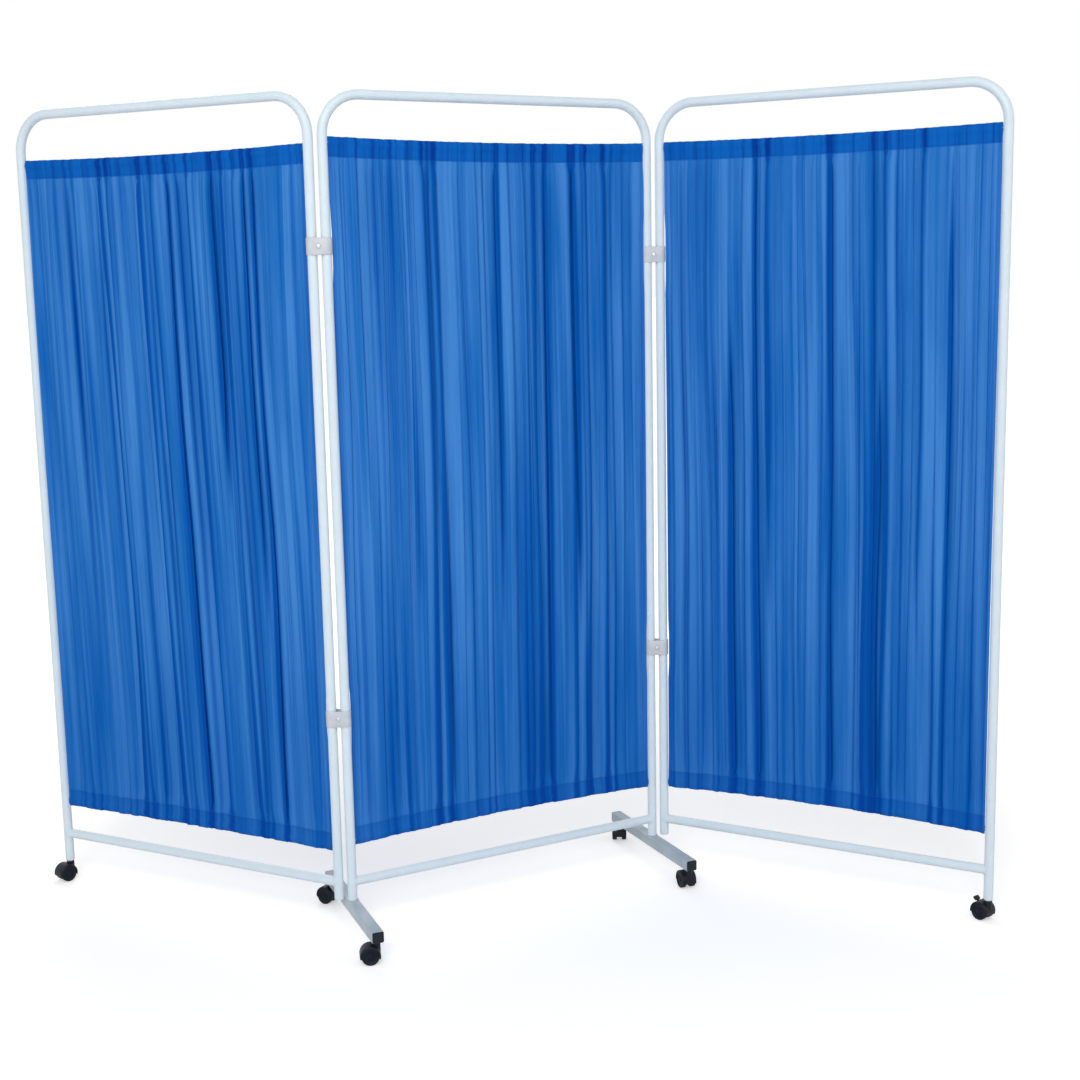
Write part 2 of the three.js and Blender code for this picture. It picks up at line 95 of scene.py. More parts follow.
def makeCamera():
    s = cameraSettings
    yaw, pitch, roll = (math.radians(s[key]) for key in ("yaw", "pitch", "roll"))
    forward = Vector((math.sin(yaw) * math.cos(pitch), math.cos(yaw) * math.cos(pitch), -math.sin(pitch)))
    level = Vector((math.cos(yaw), -math.sin(yaw), 0))
    above = level.cross(forward)
    right = level * math.cos(roll) - above * math.sin(roll)
    up = level * math.sin(roll) + above * math.cos(roll)
    data = bpy.data.cameras.new("photoCamera")
    data.sensor_width = s["sensor"]
    data.lens = s["focalPixels"] / s["imagePixels"] * s["sensor"]
    camera = placed("photoCamera", data)
    place = Matrix((right, up, -forward)).transposed().to_4x4()
    place.translation = panelPlace["center"].translation + Vector(s["place"])
    camera.matrix_world = place
    bpy.context.scene.camera = camera


makeCamera()
print("camera set")


# Node graphs: an output socket that sums can be written on
class Link:
    def __init__(self, graph, socket):
        self.graph = graph
        self.socket = socket

    def __add__(self, other):
        return self.graph.maths("ADD", self, other)

    def __sub__(self, other):
        return self.graph.maths("SUBTRACT", self, other)

    def __rsub__(self, other):
        return self.graph.maths("SUBTRACT", other, self)

    def __mul__(self, other):
        return self.graph.maths("MULTIPLY", self, other)

    def __truediv__(self, other):
        return self.graph.maths("DIVIDE", self, other)

    __radd__ = __add__
    __rmul__ = __mul__

    def clamped(self, low=0.0, high=1.0):
        return self.graph.maths("MINIMUM", self.graph.maths("MAXIMUM", self, low), high)


class Graph:
    def __init__(self, tree):
        self.tree = tree

    def node(self, kind, settings=None, inputs=None, output=0):
        node = self.tree.nodes.new(kind)
        for name, value in (settings or {}).items():
            if name == "stops":
                self.setStops(node.color_ramp, value)
            else:
                setattr(node, name, value)
        for key, value in (inputs or {}).items():
            if isinstance(value, Link):
                self.tree.links.new(value.socket, node.inputs[key])
            else:
                node.inputs[key].default_value = value
        return Link(self, node.outputs[output])

    def setStops(self, ramp, stops):
        for stop, (position, level) in zip(list(ramp.elements) + [None] * len(stops), stops):
            stop = stop or ramp.elements.new(position)
            stop.position = position
            stop.color = (level, level, level, 1)

    def maths(self, operation, *values):
        return self.node("ShaderNodeMath", {"operation": operation}, dict(enumerate(values)))

    # Sockets 6 and 7 take the colours of a colour mix, and output 2 gives the result
    def mixed(self, factor, first, second):
        inputs = {0: factor, 6: first, 7: second}
        return self.node("ShaderNodeMix", {"data_type": "RGBA"}, inputs, 2)

    def attribute(self, name):
        return self.node("ShaderNodeAttribute", {"attribute_name": name}, output="Fac")

    def objectPlace(self):
        return self.node("ShaderNodeTexCoord", output="Object")

    def stretched(self, vector, scale):
        return self.node("ShaderNodeVectorMath", {"operation": "MULTIPLY"}, {0: vector, 1: scale})

    def noise(self, vector, scale, detail=2.0, roughness=0.5):
        inputs = {"Vector": vector, "Scale": scale, "Detail": detail, "Roughness": roughness}
        return self.node("ShaderNodeTexNoise", None, inputs)

    def ramp(self, value, *stops):
        return self.node("ShaderNodeValToRGB", {"stops": stops}, {0: value})


# Finishes

def srgb(red, green, blue):
    linear = [c / 12.92 if c <= 0.04045 else ((c + 0.055) / 1.055) ** 2.4
              for c in (red / 255, green / 255, blue / 255)]
    return (*linear, 1.0)


def newFinish(name, roughness, metallic=0.0, **fixed):
    material = bpy.data.materials.new(name)
    material.use_nodes = True
    shader = material.node_tree.nodes["Principled BSDF"]
    shader.inputs["Roughness"].default_value = roughness
    shader.inputs["Metallic"].default_value = metallic
    for key, value in fixed.items():
        shader.inputs[key.replace("_", " ")].default_value = value
    graph = Graph(material.node_tree)
    return material, shader, graph


def feed(graph, shader, **links):
    for key, link in links.items():
        graph.tree.links.new(link.socket, shader.inputs[key.replace("_", " ")])


def bumped(graph, height, strength, distance):
    return graph.node("ShaderNodeBump", None, {"Height": height, "Strength": strength, "Distance": distance})


powderCoat = {
    "white": srgb(216, 230, 239),
    "shaded": srgb(193, 210, 220),
    "rubbed": srgb(172, 180, 190),
    "footPale": srgb(174, 189, 197),
    "footDark": srgb(150, 165, 174),
    "footSpeck": srgb(194, 204, 210),
}


def powderFinish(name, pale, dark, speck, mottle, wear):
    material, shader, graph = newFinish(name, 0.4, Coat_Weight=0.05, Coat_Roughness=0.3,
                                        Specular_IOR_Level=0.36)
    place = graph.objectPlace()
    cloudy = graph.noise(place, 26.0, 3.0)
    fine = graph.noise(place, 420.0, 2.0)
    scuffs = graph.noise(graph.stretched(place, (60.0, 60.0, 7.0)), 5.0, 4.0, 0.65)
    scuffMask = graph.ramp(scuffs, (0.63, 0.0), (0.72, 1.0))
    colour = graph.mixed(graph.ramp(cloudy, (0.38, 0.0), (0.66, 1.0)) * mottle, pale, dark)
    colour = graph.mixed(scuffMask * wear, colour, speck)
    feed(graph, shader, Base_Color=colour, Roughness=0.37 + cloudy * 0.06 + scuffMask * wear,
         Normal=bumped(graph, fine, 0.16, 0.12 * mm))
    return material


def plasticFinish(name, pale, dark, roughness, grain, dust, sheen):
    material, shader, graph = newFinish(name, roughness, Specular_IOR_Level=sheen)
    place = graph.objectPlace()
    spark = graph.noise(place, grain, 3.0, 0.6)
    patches = graph.noise(place, 55.0, 3.0)
    normal = graph.node("ShaderNodeNewGeometry", output="Normal")
    settled = graph.node("ShaderNodeSeparateXYZ", None, {"Vector": normal}, "Z")
    dustMask = (settled.clamped() * graph.ramp(patches, (0.35, 0.2), (0.7, 1.0)) * dust).clamped()
    colour = graph.mixed(graph.ramp(patches, (0.3, 0.0), (0.75, 1.0)), dark, pale)
    colour = graph.mixed(dustMask, colour, srgb(128, 132, 138))
    feed(graph, shader, Base_Color=colour, Roughness=roughness + patches * 0.14 - 0.07 + dustMask * 0.2,
         Normal=bumped(graph, spark, 0.3, 0.12 * mm))
    return material


def steelFinish(name, pale, dark, roughness):
    material, shader, graph = newFinish(name, roughness, 0.9)
    place = graph.objectPlace()
    spangle = graph.noise(place, 260.0, 2.0)
    turned = graph.noise(graph.stretched(place, (30.0, 30.0, 900.0)), 1.0, 2.0)
    feed(graph, shader, Base_Color=graph.mixed(graph.ramp(spangle, (0.3, 0.0), (0.7, 1.0)), dark, pale),
         Roughness=roughness + turned * 0.16 - 0.08,
         Normal=bumped(graph, turned, 0.15, 0.05 * mm))
    return material


clothFinish = {
    "single": srgb(67, 133, 206),
    "singleCool": srgb(12, 99, 180),
    # Painted shade: the darker blues below stand for less light passing where the cloth lies in two or more
    # layers, in the folds and in the hems
    "foldedShade": srgb(2, 88, 172),
    "denseShade": srgb(0, 63, 151),
    "hem": srgb(10, 98, 186),
    "hemShade": srgb(0, 58, 148),
    "throughCloth": srgb(0, 84, 190),   # light that passes the cloth
    "throughShare": 0.04,
    "threadPitch": 0.62 * mm,
}


def curtainFinish():
    c = clothFinish
    material, shader, graph = newFinish("gatheredCloth", 0.86, Specular_IOR_Level=0.06,
                                        Emission_Color=c["throughCloth"],
                                        Emission_Strength=c["throughShare"])
    uv = graph.node("ShaderNodeUVMap", {"uv_map": "cloth"})
    layers, hem, seam, shade = (graph.attribute(name) for name in ("layers", "hem", "seam", "shade"))
    streaks = graph.noise(graph.stretched(uv, (90.0, 1.6, 1.0)), 1.0, 3.0, 0.6)
    hairs = graph.noise(graph.stretched(uv, (210.0, 3.0, 1.0)), 1.0, 2.0, 0.5)
    clouds = graph.noise(graph.stretched(uv, (14.0, 3.0, 1.0)), 1.0, 2.0)
    uneven = (streaks - 0.5) * 0.9 + (hairs - 0.5) * 0.45 + (clouds - 0.5) * 0.6
    cool = (shade * 0.75 + 0.02 + uneven * 1.1).clamped()
    single = graph.mixed(cool, c["single"], c["singleCool"])
    # Painted shade: the more layers of cloth overlap, the darker the blue, as less light passes through them
    thick = layers + uneven * 0.5
    body = graph.mixed(((thick - 1) / 1.4).clamped(), single, c["foldedShade"])
    body = graph.mixed(((thick - 2.2) / 1.6).clamped(), body, c["denseShade"])
    # Painted shade of the hems' doubled cloth, deepest where folds add more layers
    band = graph.mixed(((layers - 1) / 1.7 + uneven * 1.7 + 0.1).clamped(), c["hem"], c["hemShade"])
    colour = graph.mixed(hem.clamped(), body, band)
    # Painted shadow of the puckers along each hem's seam
    colour = graph.mixed((seam * (0.75 + uneven)).clamped(), colour, c["hemShade"])
    weave = {"Vector": uv, "Scale": 1 / c["threadPitch"] / 20, "Distortion": 0.6, "Detail": 1.0}
    warp = graph.node("ShaderNodeTexWave", {"bands_direction": "X"}, weave)
    weft = graph.node("ShaderNodeTexWave", {"bands_direction": "Y"}, weave)
    crease = graph.noise(graph.stretched(uv, (150.0, 22.0, 1.0)), 1.0, 3.0, 0.6)
    woven = bumped(graph, warp * weft, 0.18, 0.1 * mm)
    puckers = graph.node("ShaderNodeBump", None, {"Height": crease, "Strength": 0.35,
                                                  "Distance": 1.2 * mm, "Normal": woven})
    feed(graph, shader, Base_Color=colour, Roughness=0.82 + (streaks - 0.5) * 0.12, Normal=puckers)
    return material


def threadFinish():
    material, shader, graph = newFinish("hemThread", 0.6, Sheen_Weight=0.2)
    place = graph.objectPlace()
    twist = graph.noise(place, 1800.0, 1.0)
    feed(graph, shader, Base_Color=graph.mixed(twist, srgb(6, 74, 160), srgb(36, 108, 196)),
         Normal=bumped(graph, twist, 0.4, 0.1 * mm))
    return material


finishes = {
    "white_tube": powderFinish("whitePowderCoat", powderCoat["white"], powderCoat["shaded"],
                               powderCoat["rubbed"], mottle=0.16, wear=0.1),
    "grey_bar": powderFinish("greyPowderCoat", powderCoat["footPale"], powderCoat["footDark"],
                             powderCoat["footSpeck"], mottle=0.4, wear=0.14),
    "curtain_cloth": curtainFinish(),
    "hem_thread": threadFinish(),
    "end_cap": plasticFinish("blackEndCap", srgb(27, 36, 47), srgb(14, 20, 29), roughness=0.5,
                             grain=900.0, dust=0.12, sheen=0.25),
    "hinge_clamp": plasticFinish("greyClampPlastic", srgb(205, 210, 216), srgb(190, 195, 203),
                                 roughness=0.5, grain=700.0, dust=0.0, sheen=0.5),
    "rivet": steelFinish("rivetSteel", srgb(200, 203, 208), srgb(178, 182, 189), roughness=0.5),
    "curtain_rod": steelFinish("zincRod", srgb(204, 206, 210), srgb(168, 172, 178), roughness=0.36),
    "plated_steel": steelFinish("platedSteel", srgb(206, 208, 212), srgb(160, 164, 170), roughness=0.28),
    "castor_wheel": plasticFinish("blackTread", srgb(18, 26, 42), srgb(8, 12, 24), roughness=0.56,
                                  grain=500.0, dust=0.05, sheen=0.18),
    "castor_body": plasticFinish("blackHood", srgb(14, 20, 35), srgb(6, 10, 21), roughness=0.44,
                                 grain=800.0, dust=0.05, sheen=0.22),
}
print("finishes made")


# Meshes

mergeDistance = 0.002 * mm


def meshFrom(name, points, faces):
    mesh = bpy.data.meshes.new(name)
    mesh.from_pydata([tuple(p) for p in points], [], faces)
    mesh.validate()
    return mesh


def addPiece(name, mesh, slot, body, replaces=(), place=None, smoothAngle=42):
    if place is not None:
        mesh.transform(place)
    if len(mesh.materials) == 0:
        mesh.materials.append(finishes[slot])
    mesh.shade_smooth()
    mesh.set_sharp_from_angle(angle=math.radians(smoothAngle))
    mesh.update()
    piece = placed(name, mesh)
    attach(piece, body)
    if replaces:
        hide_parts(*replaces)
    return piece


def evaluated(piece):
    depsgraph = bpy.context.evaluated_depsgraph_get()
    mesh = bpy.data.meshes.new_from_object(piece.evaluated_get(depsgraph))
    bpy.data.objects.remove(piece)
    return mesh


def bevelled(name, mesh, width, segments, angle):
    piece = placed(name + "_raw", mesh)
    modifier = piece.modifiers.new("Bevel", "BEVEL")
    settings = {"width": width, "segments": segments, "limit_method": "ANGLE",
                "angle_limit": math.radians(angle), "miter_outer": "MITER_ARC"}
    for key, value in settings.items():
        setattr(modifier, key, value)
    return evaluated(piece)


# Merges doubles and turns the faces outwards
def recalculated(mesh, dissolve=False):
    work = bmesh.new()
    work.from_mesh(mesh)
    bmesh.ops.remove_doubles(work, verts=work.verts, dist=mergeDistance)
    if dissolve:
        bmesh.ops.dissolve_degenerate(work, edges=work.edges, dist=mergeDistance)
    bmesh.ops.recalc_face_normals(work, faces=work.faces)
    work.to_mesh(mesh)
    work.free()
    return mesh


# Closed outline in (a, b), swept along depth from low to high
def prism(name, outline, low, high, axes="xzy"):
    count = len(outline)
    points = []
    for depth in (low, high):
        for a, b in outline:
            coordinates = dict(zip(axes, (a, b, depth)))
            points.append((coordinates["x"], coordinates["y"], coordinates["z"]))
    faces = [(i, (i + 1) % count, (i + 1) % count + count, i + count) for i in range(count)]
    faces += [tuple(range(count))[::-1], tuple(range(count, 2 * count))]
    return recalculated(meshFrom(name, points, faces))


# Profile of (radius, height) turned about Z. A whole turn starts and ends on the axis, and a part
# of a turn takes a closed profile and has a face at each end
def turnedMesh(name, profile, steps=48, start=0.0, sweep=360.0):
    whole = sweep >= 360.0
    rings = steps if whole else steps + 1
    points = []
    for i in range(rings):
        a = math.radians(start + sweep * i / steps)
        points += [(r * math.cos(a), r * math.sin(a), z) for r, z in profile]
    count = len(profile)
    faces = []
    for i in range(steps):
        here, there = i * count, ((i + 1) % rings) * count
        for k in range(count - 1 if whole else count):
            n = (k + 1) % count
            faces.append((here + k, there + k, there + n, here + n))
    if not whole:
        faces += [tuple(range(count)), tuple(range((rings - 1) * count, rings * count))[::-1]]
    return recalculated(meshFrom(name, points, faces), dissolve=True)


def joined(name, *meshes):
    work = bmesh.new()
    for mesh in meshes:
        work.from_mesh(mesh)
    result = bpy.data.meshes.new(name)
    work.to_mesh(result)
    work.free()
    return result


def rotated(mesh, degrees, axis="X"):
    mesh.transform(Matrix.Rotation(math.radians(degrees), 4, axis))
    return mesh


def ringPoints(radius, height, steps):
    return [(radius * math.cos(a), radius * math.sin(a), height)
            for a in (2 * math.pi * i / steps for i in range(steps))]


def arcPoints(centre, radius, fromDegrees, toDegrees, steps):
    return [(centre[0] + radius * math.cos(a), centre[1] + radius * math.sin(a))
            for a in (math.radians(fromDegrees + (toDegrees - fromDegrees) * i / steps)
                      for i in range(steps + 1))]


def roundedRectangle(width, height, radius, steps=6):
    x, y = width / 2 - radius, height / 2 - radius
    return (arcPoints((x, y), radius, 0, 90, steps) + arcPoints((-x, y), radius, 90, 180, steps)
            + arcPoints((-x, -y), radius, 180, 270, steps) + arcPoints((x, -y), radius, 270, 360, steps))


# Geometry node trees

class Builder(Graph):
    def __init__(self, name, sockets):
        tree = bpy.data.node_groups.new(name, "GeometryNodeTree")
        super().__init__(tree)
        face = tree.interface
        face.new_socket("Geometry", in_out="OUTPUT", socket_type="NodeSocketGeometry")
        face.new_socket("Geometry", in_out="INPUT", socket_type="NodeSocketGeometry")
        kinds = {float: "NodeSocketFloat", int: "NodeSocketInt", "material": "NodeSocketMaterial"}
        self.identifiers = {}
        for label, kind in sockets.items():
            socket = face.new_socket(label, in_out="INPUT", socket_type=kinds[kind])
            self.identifiers[label] = socket.identifier
        self.inputNode = tree.nodes.new("NodeGroupInput")
        self.outputNode = tree.nodes.new("NodeGroupOutput")

    def given(self, label):
        return Link(self, self.inputNode.outputs[label])

    def finish(self, geometry):
        smooth = self.node("GeometryNodeSetShadeSmooth", None, {"Geometry": geometry})
        real = self.node("GeometryNodeRealizeInstances", None, {"Geometry": smooth})
        coated = self.node("GeometryNodeSetMaterial", None,
                           {"Geometry": real, "Material": self.given("Material")})
        self.tree.links.new(coated.socket, self.outputNode.inputs[0])

    # Points spaced evenly along the source curve, and a direction of the curve at each
    def spaced(self, direction):
        points = self.node("GeometryNodeCurveToPoints", {"mode": "LENGTH"},
                           {"Curve": self.given("Geometry"), "Length": self.given("Pitch")}, "Points")
        return points, Link(self, points.socket.node.outputs[direction])

    def finishTube(self, curve, sides, caps):
        section = self.node("GeometryNodeCurvePrimitiveCircle", {"mode": "RADIUS"},
                            {"Resolution": sides, "Radius": self.given("Radius")})
        self.finish(self.node("GeometryNodeCurveToMesh", None,
                              {"Curve": curve, "Profile Curve": section, "Fill Caps": caps,
                               "Scale": self.node("GeometryNodeInputRadius")}))

    def build(self, name, source, **values):
        piece = placed(name + "_source", source)
        modifier = piece.modifiers.new("build", "NODES")
        modifier.node_group = self.tree
        for label, value in values.items():
            modifier[self.identifiers[label]] = value
        return evaluated(piece)


def polyline(name, points, closed=False, scales=None):
    curve = bpy.data.curves.new(name, "CURVE")
    curve.dimensions = "3D"
    spline = curve.splines.new("POLY")
    spline.points.add(len(points) - 1)
    for i, (x, y, z) in enumerate(points):
        spline.points[i].co = (x, y, z, 1)
        spline.points[i].radius = scales[i] if scales else 1.0
    spline.use_cyclic_u = closed
    return curve


# Round tube along a path whose corners are bent to one radius
def tubeTree():
    tree = Builder("bentTube", {"Radius": float, "BendRadius": float, "BendSteps": int,
                                "Sides": int, "Material": "material"})
    bent = tree.node("GeometryNodeFilletCurve", {"mode": "POLY"},
                     {"Curve": tree.given("Geometry"), "Radius": tree.given("BendRadius"),
                      "Count": tree.given("BendSteps"), "Limit Radius": True})
    tree.finishTube(bent, tree.given("Sides"), True)
    return tree


# Weld bead along a closed seam: a small tube whose thickness ripples from drop to drop
def weldTree():
    tree = Builder("weldBead", {"Radius": float, "Drops": int, "Points": int, "Material": "material"})
    seam = tree.node("GeometryNodeResampleCurve", {"mode": "COUNT"},
                     {"Curve": tree.given("Geometry"), "Count": tree.given("Points")})
    share = tree.node("GeometryNodeSplineParameter")
    ripple = tree.maths("SINE", share * tree.given("Drops") * (2 * math.pi))
    uneven = tree.noise(tree.node("GeometryNodeInputPosition"), 160.0)
    sized = tree.node("GeometryNodeSetCurveRadius", None,
                      {"Curve": seam, "Radius": 0.78 + ripple * 0.12 + uneven * 0.4})
    tree.finishTube(sized, 10, False)
    return tree


# Stitches: short drawn-out beads of thread, one after another along a seam
def stitchTree():
    tree = Builder("stitchRow", {"Pitch": float, "StitchLength": float, "ThreadRadius": float,
                                 "Material": "material"})
    points, tangent = tree.spaced("Tangent")
    ball = tree.node("GeometryNodeMeshUVSphere", None,
                     {"Segments": 6, "Rings": 4, "Radius": tree.given("ThreadRadius")})
    drawnOut = tree.node("ShaderNodeCombineXYZ", None,
                         {0: 1.0, 1: 1.0, 2: tree.given("StitchLength") / tree.given("ThreadRadius") / 2})
    facing = tree.node("FunctionNodeAlignRotationToVector", {"axis": "Z"}, {"Vector": tangent})
    tree.finish(tree.node("GeometryNodeInstanceOnPoints", None,
                          {"Points": points, "Instance": ball, "Rotation": facing, "Scale": drawnOut}))
    return tree


# Ribs: equal rounded bars spaced along a line or round a circle
def ribTree():
    tree = Builder("ribs", {"Pitch": float, "RibLength": float, "RibWidth": float, "RibHeight": float,
                            "Material": "material"})
    points, rotation = tree.spaced("Rotation")
    size = tree.node("ShaderNodeCombineXYZ", None,
                     {0: tree.given("RibWidth"), 1: tree.given("RibLength"), 2: tree.given("RibHeight")})
    ball = tree.node("GeometryNodeMeshUVSphere", None, {"Segments": 8, "Rings": 6, "Radius": 0.5})
    tree.finish(tree.node("GeometryNodeInstanceOnPoints", None,
                          {"Points": points, "Instance": ball, "Rotation": rotation, "Scale": size}))
    return tree


bentTube, weldBead, stitchRow, ribRow = tubeTree(), weldTree(), stitchTree(), ribTree()


# Frames, rails and rods

frameSettings = {
    "tubeRadius": 10 * mm,
    "bendRadius": 78 * mm,
    "bendSteps": 16,
    "sides": 40,
    "endRounding": 1.4 * mm,
    "castorSeat": 17 * mm,      # from the top of a castor's stem down to the end of its post
    "footClearance": 2.5 * mm,  # from the feet up to the hanging inner posts
    "railRadius": 10 * mm,
    "railInset": 4 * mm,       # end of the rail inside the wall of the post
    "beadRadius": 1.5 * mm,
    "beadDrops": 26,
    "beadPoints": 160,
    "saddleSteps": 64,
    "saddleLift": 0.2 * mm,     # middle of the bead outside the rail
    "saddleInset": 0.4 * mm,
    "rodRadius": 2 * mm,
    "rodInset": 4.5 * mm,       # end of the rod inside the wall of the post
}


def boxMiddleHeight(node):
    low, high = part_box(node)
    return (low.z + high.z) / 2


def tubeMesh(name, points, radius, slot, scales=None, bendRadius=0.0, sides=frameSettings["sides"]):
    return bentTube.build(name, polyline(name, points, scales=scales), Radius=radius, BendRadius=bendRadius,
                          BendSteps=frameSettings["bendSteps"], Sides=sides, Material=finishes[slot])


def beadMesh(name, points):
    return weldBead.build(name, polyline(name, points, closed=True), Radius=frameSettings["beadRadius"],
                          Drops=frameSettings["beadDrops"], Points=frameSettings["beadPoints"],
                          Material=finishes["white_tube"])


def postEnds(panel):
    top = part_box(f"{panel}_frame")[1].z
    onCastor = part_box("left_outer_castor_stem")[1].z - frameSettings["castorSeat"]
    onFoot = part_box("left_foot")[1].z
    hanging = onFoot + frameSettings["footClearance"]
    ends = {"left": (onCastor, hanging), "center": (onFoot, onFoot), "right": (hanging, onCastor)}
    return top, ends[panel]


def makeFrame(panel):
    s = frameSettings
    top, feet = postEnds(panel)
    half, up = postPitch / 2, top - s["tubeRadius"]
    rim = s["endRounding"]
    kneeShare = 0.3             # the rounding of an end, cut in two slopes
    points = [(-half, 0, feet[0]), (-half, 0, feet[0] + rim * kneeShare), (-half, 0, feet[0] + rim),
              (-half, 0, up), (half, 0, up),
              (half, 0, feet[1] + rim), (half, 0, feet[1] + rim * kneeShare), (half, 0, feet[1])]
    endScale = 1 - rim / s["tubeRadius"]
    kneeScale = 1 - (1 - endScale) * kneeShare
    scales = [endScale, kneeScale, 1, 1, 1, 1, kneeScale, endScale]
    mesh = tubeMesh(f"{panel}_tube", points, s["tubeRadius"], "white_tube", scales, s["bendRadius"])
    addPiece(f"{panel}_frame_tube", mesh, "white_tube", panelBody[panel], [f"{panel}_frame"],
             panelPlace[panel], 60)


# The seam where the rail's end meets a post of the same diameter
def saddle(side, height):
    s = frameSettings
    seam = []
    for along, up, _ in ringPoints(1.0, 0.0, s["saddleSteps"]):
        inward = s["railRadius"] * abs(up) + s["saddleInset"]
        ring = s["railRadius"] + s["saddleLift"]
        seam.append((side * (postPitch / 2 - inward), ring * along, height + ring * up))
    return seam


def makeRail(panel):
    s = frameSettings
    height = boxMiddleHeight(f"{panel}_rail")
    end = postPitch / 2 - s["railInset"]
    line = [(-end, 0, height), (end, 0, height)]
    tube = tubeMesh(f"{panel}_rail_tube", line, s["railRadius"], "white_tube")
    beads = [beadMesh(f"{panel}_bead", saddle(side, height)) for side in (-1, 1)]
    mesh = joined(f"{panel}_rail_tube", tube, *beads)
    addPiece(f"{panel}_rail_tube", mesh, "white_tube", panelBody[panel], [f"{panel}_rail"],
             panelPlace[panel], 60)


# Rod line at a share of the panel's width: the cloth bends the rod between the posts
def rodLine(panel, which):
    low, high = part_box(f"{panel}_{which}_rod")
    r = frameSettings["rodRadius"]
    bend = high.z - low.z - 2 * r
    if which == "top":
        return lambda u: high.z - r - bend * (1 - (2 * u / postPitch) ** 2)
    return lambda u: low.z + r + bend * (1 - (2 * u / postPitch) ** 2)


def makeRod(panel, which):
    s = frameSettings
    line = rodLine(panel, which)
    reach = postPitch / 2 - s["tubeRadius"] + s["rodInset"]
    points = [(u, 0, line(u)) for u in np.linspace(-reach, reach, 25).tolist()]
    mesh = tubeMesh(f"{panel}_{which}", points, s["rodRadius"], "curtain_rod", sides=14)
    addPiece(f"{panel}_{which}_rod_bar", mesh, "curtain_rod", panelBody[panel], [f"{panel}_{which}_rod"],
             panelPlace[panel])


for panelName in panelEnds:
    makeFrame(panelName)
    makeRail(panelName)
    makeRod(panelName, "top")
    makeRod(panelName, "bottom")
print("frames, rails and rods made")


# Curtains. Lengths in metres, angles in radians

curtainSettings = {
    "clothEdge": 11.0 * mm,     # cloth edge to the post's centre line
    "halfThickness": 0.28 * mm,
    "sleeve": 2.75 * mm,        # extra half thickness of the hem round the rod
    "headHeight": 11 * mm,      # cloth beyond the rod
    "hemHeight": 40 * mm,
    # Side hems: their width, and the share of the hems' painted shade that they take
    "sideHem": 9 * mm,
    "sideHemDepth": 0.3,
    "bodyHeight": 1.36,
    "bodyRows": 50,
    "hemAngle": 1.25,           # steepest fold in a hem
    "hemOverlap": 0.3,          # how much of a fold's overlap and swell is left in a hem
    "hemFade": 26 * mm,         # from a hem's seam to where the folds are whole
    "hemDepth": 2.2 * mm,       # most that the cloth leaves the panel's plane: in the hems,
    "rodDepth": 0.75 * mm,      # round the rods
    "bodyDepth": 8.5 * mm,      # and between the hems
    "depthFade": 60 * mm,
    "levelReach": 38 * mm,
    "outerFold": 7 * mm,        # from the cloth's edge to its first fold
    "foldGap": 1.2 * mm,
    "gapShape": 2.4,
    "evenness": 1.6,            # 0 spaces the folds at random
    "flatFolds": 2,             # folds beside each post that are never tight
    "balance": 1.6,             # folds that may step to one side before they turn back
    "strengthSwing": 0.14,
    "fadingDown": 0.16,         # share of the folds that die out towards the floor
    "fading": 0.28,             # share that dies out towards the floor or the top
    "driftWaves": (0.6, 1.1, 1.9),
    "driftSpread": 0.9 * mm,
    "driftMean": 1.6 * mm,
    "ripples": 6,
    "rippleHeight": 0.45 * mm,
    "clampPull": 1.9 * mm,      # how far the cloth's edge gives way to a clamp
    "clampPullWidth": 34 * mm,
    "clampPullBeyond": 30 * mm,
    "clampPullFade": 25 * mm,
    "tight": {"angle": (2.45, 2.85), "radius": (1.2 * mm, 1.8 * mm), "run": (6.0 * mm, 13.0 * mm)},
    "soft": {"angle": (0.8, 1.9), "radius": (1.8 * mm, 3.4 * mm), "run": (2.0 * mm, 5.5 * mm)},
    "softFlat": 0.3,            # swell of the cloth between two folds
    "blur": 3.2 * mm,
    "scallop": 0.2 * mm,        # unevenness of the upper and lower edge
    "scallopWaves": (310, 57, 133),
    # Width of the painted pucker shadow along each hem's seam
    "seamSpread": 1.2 * mm,
    "stripeStep": 0.45,
    "bottomHemDepth": 0.25,     # how far the lower hem's painted shade parts from the cloth above it
    "bottomHemShade": 0.35,    # painted shade: layers added to the colour in the lower hem
    "lowPaintedShade": 0.55,          # painted shade: layers added to the colour towards the floor
    "lowShare": 0.45,           # height at which they start, as a share of the cloth
    "left": {"seed": 11, "folds": 42, "lean": 16 * mm, "tightShare": 0.24, "hinges": [("left", 1)]},
    "center": {"seed": 23, "folds": 44, "lean": 0.0, "tightShare": 0.24,
               "hinges": [("left", -1), ("right", 1)]},
    "right": {"seed": 37, "folds": 44, "lean": 4 * mm, "tightShare": 0.18, "hinges": [("right", -1)]},
}


# 0 below 0 and 1 above 1, with a soft rise between
def smoothStep(x):
    x = np.clip(x, 0, 1)
    return x * x * (3 - 2 * x)


# Heights of the rows: distance from a rod line, and how far up the body between the two hems
def curtainRows():
    s = curtainSettings
    seam = s["hemHeight"] - s["headHeight"]
    sleeveShare = [(-11, 0.0), (-7, 0.15), (-4, 0.85), (-2, 1.0), (0, 1.0), (2, 1.0), (4.5, 0.85), (8, 0.35),
                   (14, 0.12), (21, 0.04), (27.5, 0.0)]
    rows = [{"end": 0, "offset": a * mm, "body": 0.0, "sleeve": b} for a, b in sleeveShare]
    spacing = [seam + d * mm for d in (0, 1.5, 5, 11, 19, 29, 41)]
    shares = [(d - seam) / s["bodyHeight"] for d in spacing]
    middle = np.linspace(shares[-1], 1 - shares[-1], s["bodyRows"] - 2 * len(shares) + 2)[1:-1]
    for share in [*shares, *middle, *[1 - x for x in reversed(shares)]]:
        rows.append({"end": None, "offset": seam, "body": float(share), "sleeve": 0.0})
    rows += [{"end": 1, "offset": -a * mm, "body": 1.0, "sleeve": b} for a, b in reversed(sleeveShare)]
    return rows


turn = 6.28                     # a whole turn of a wave, in radians


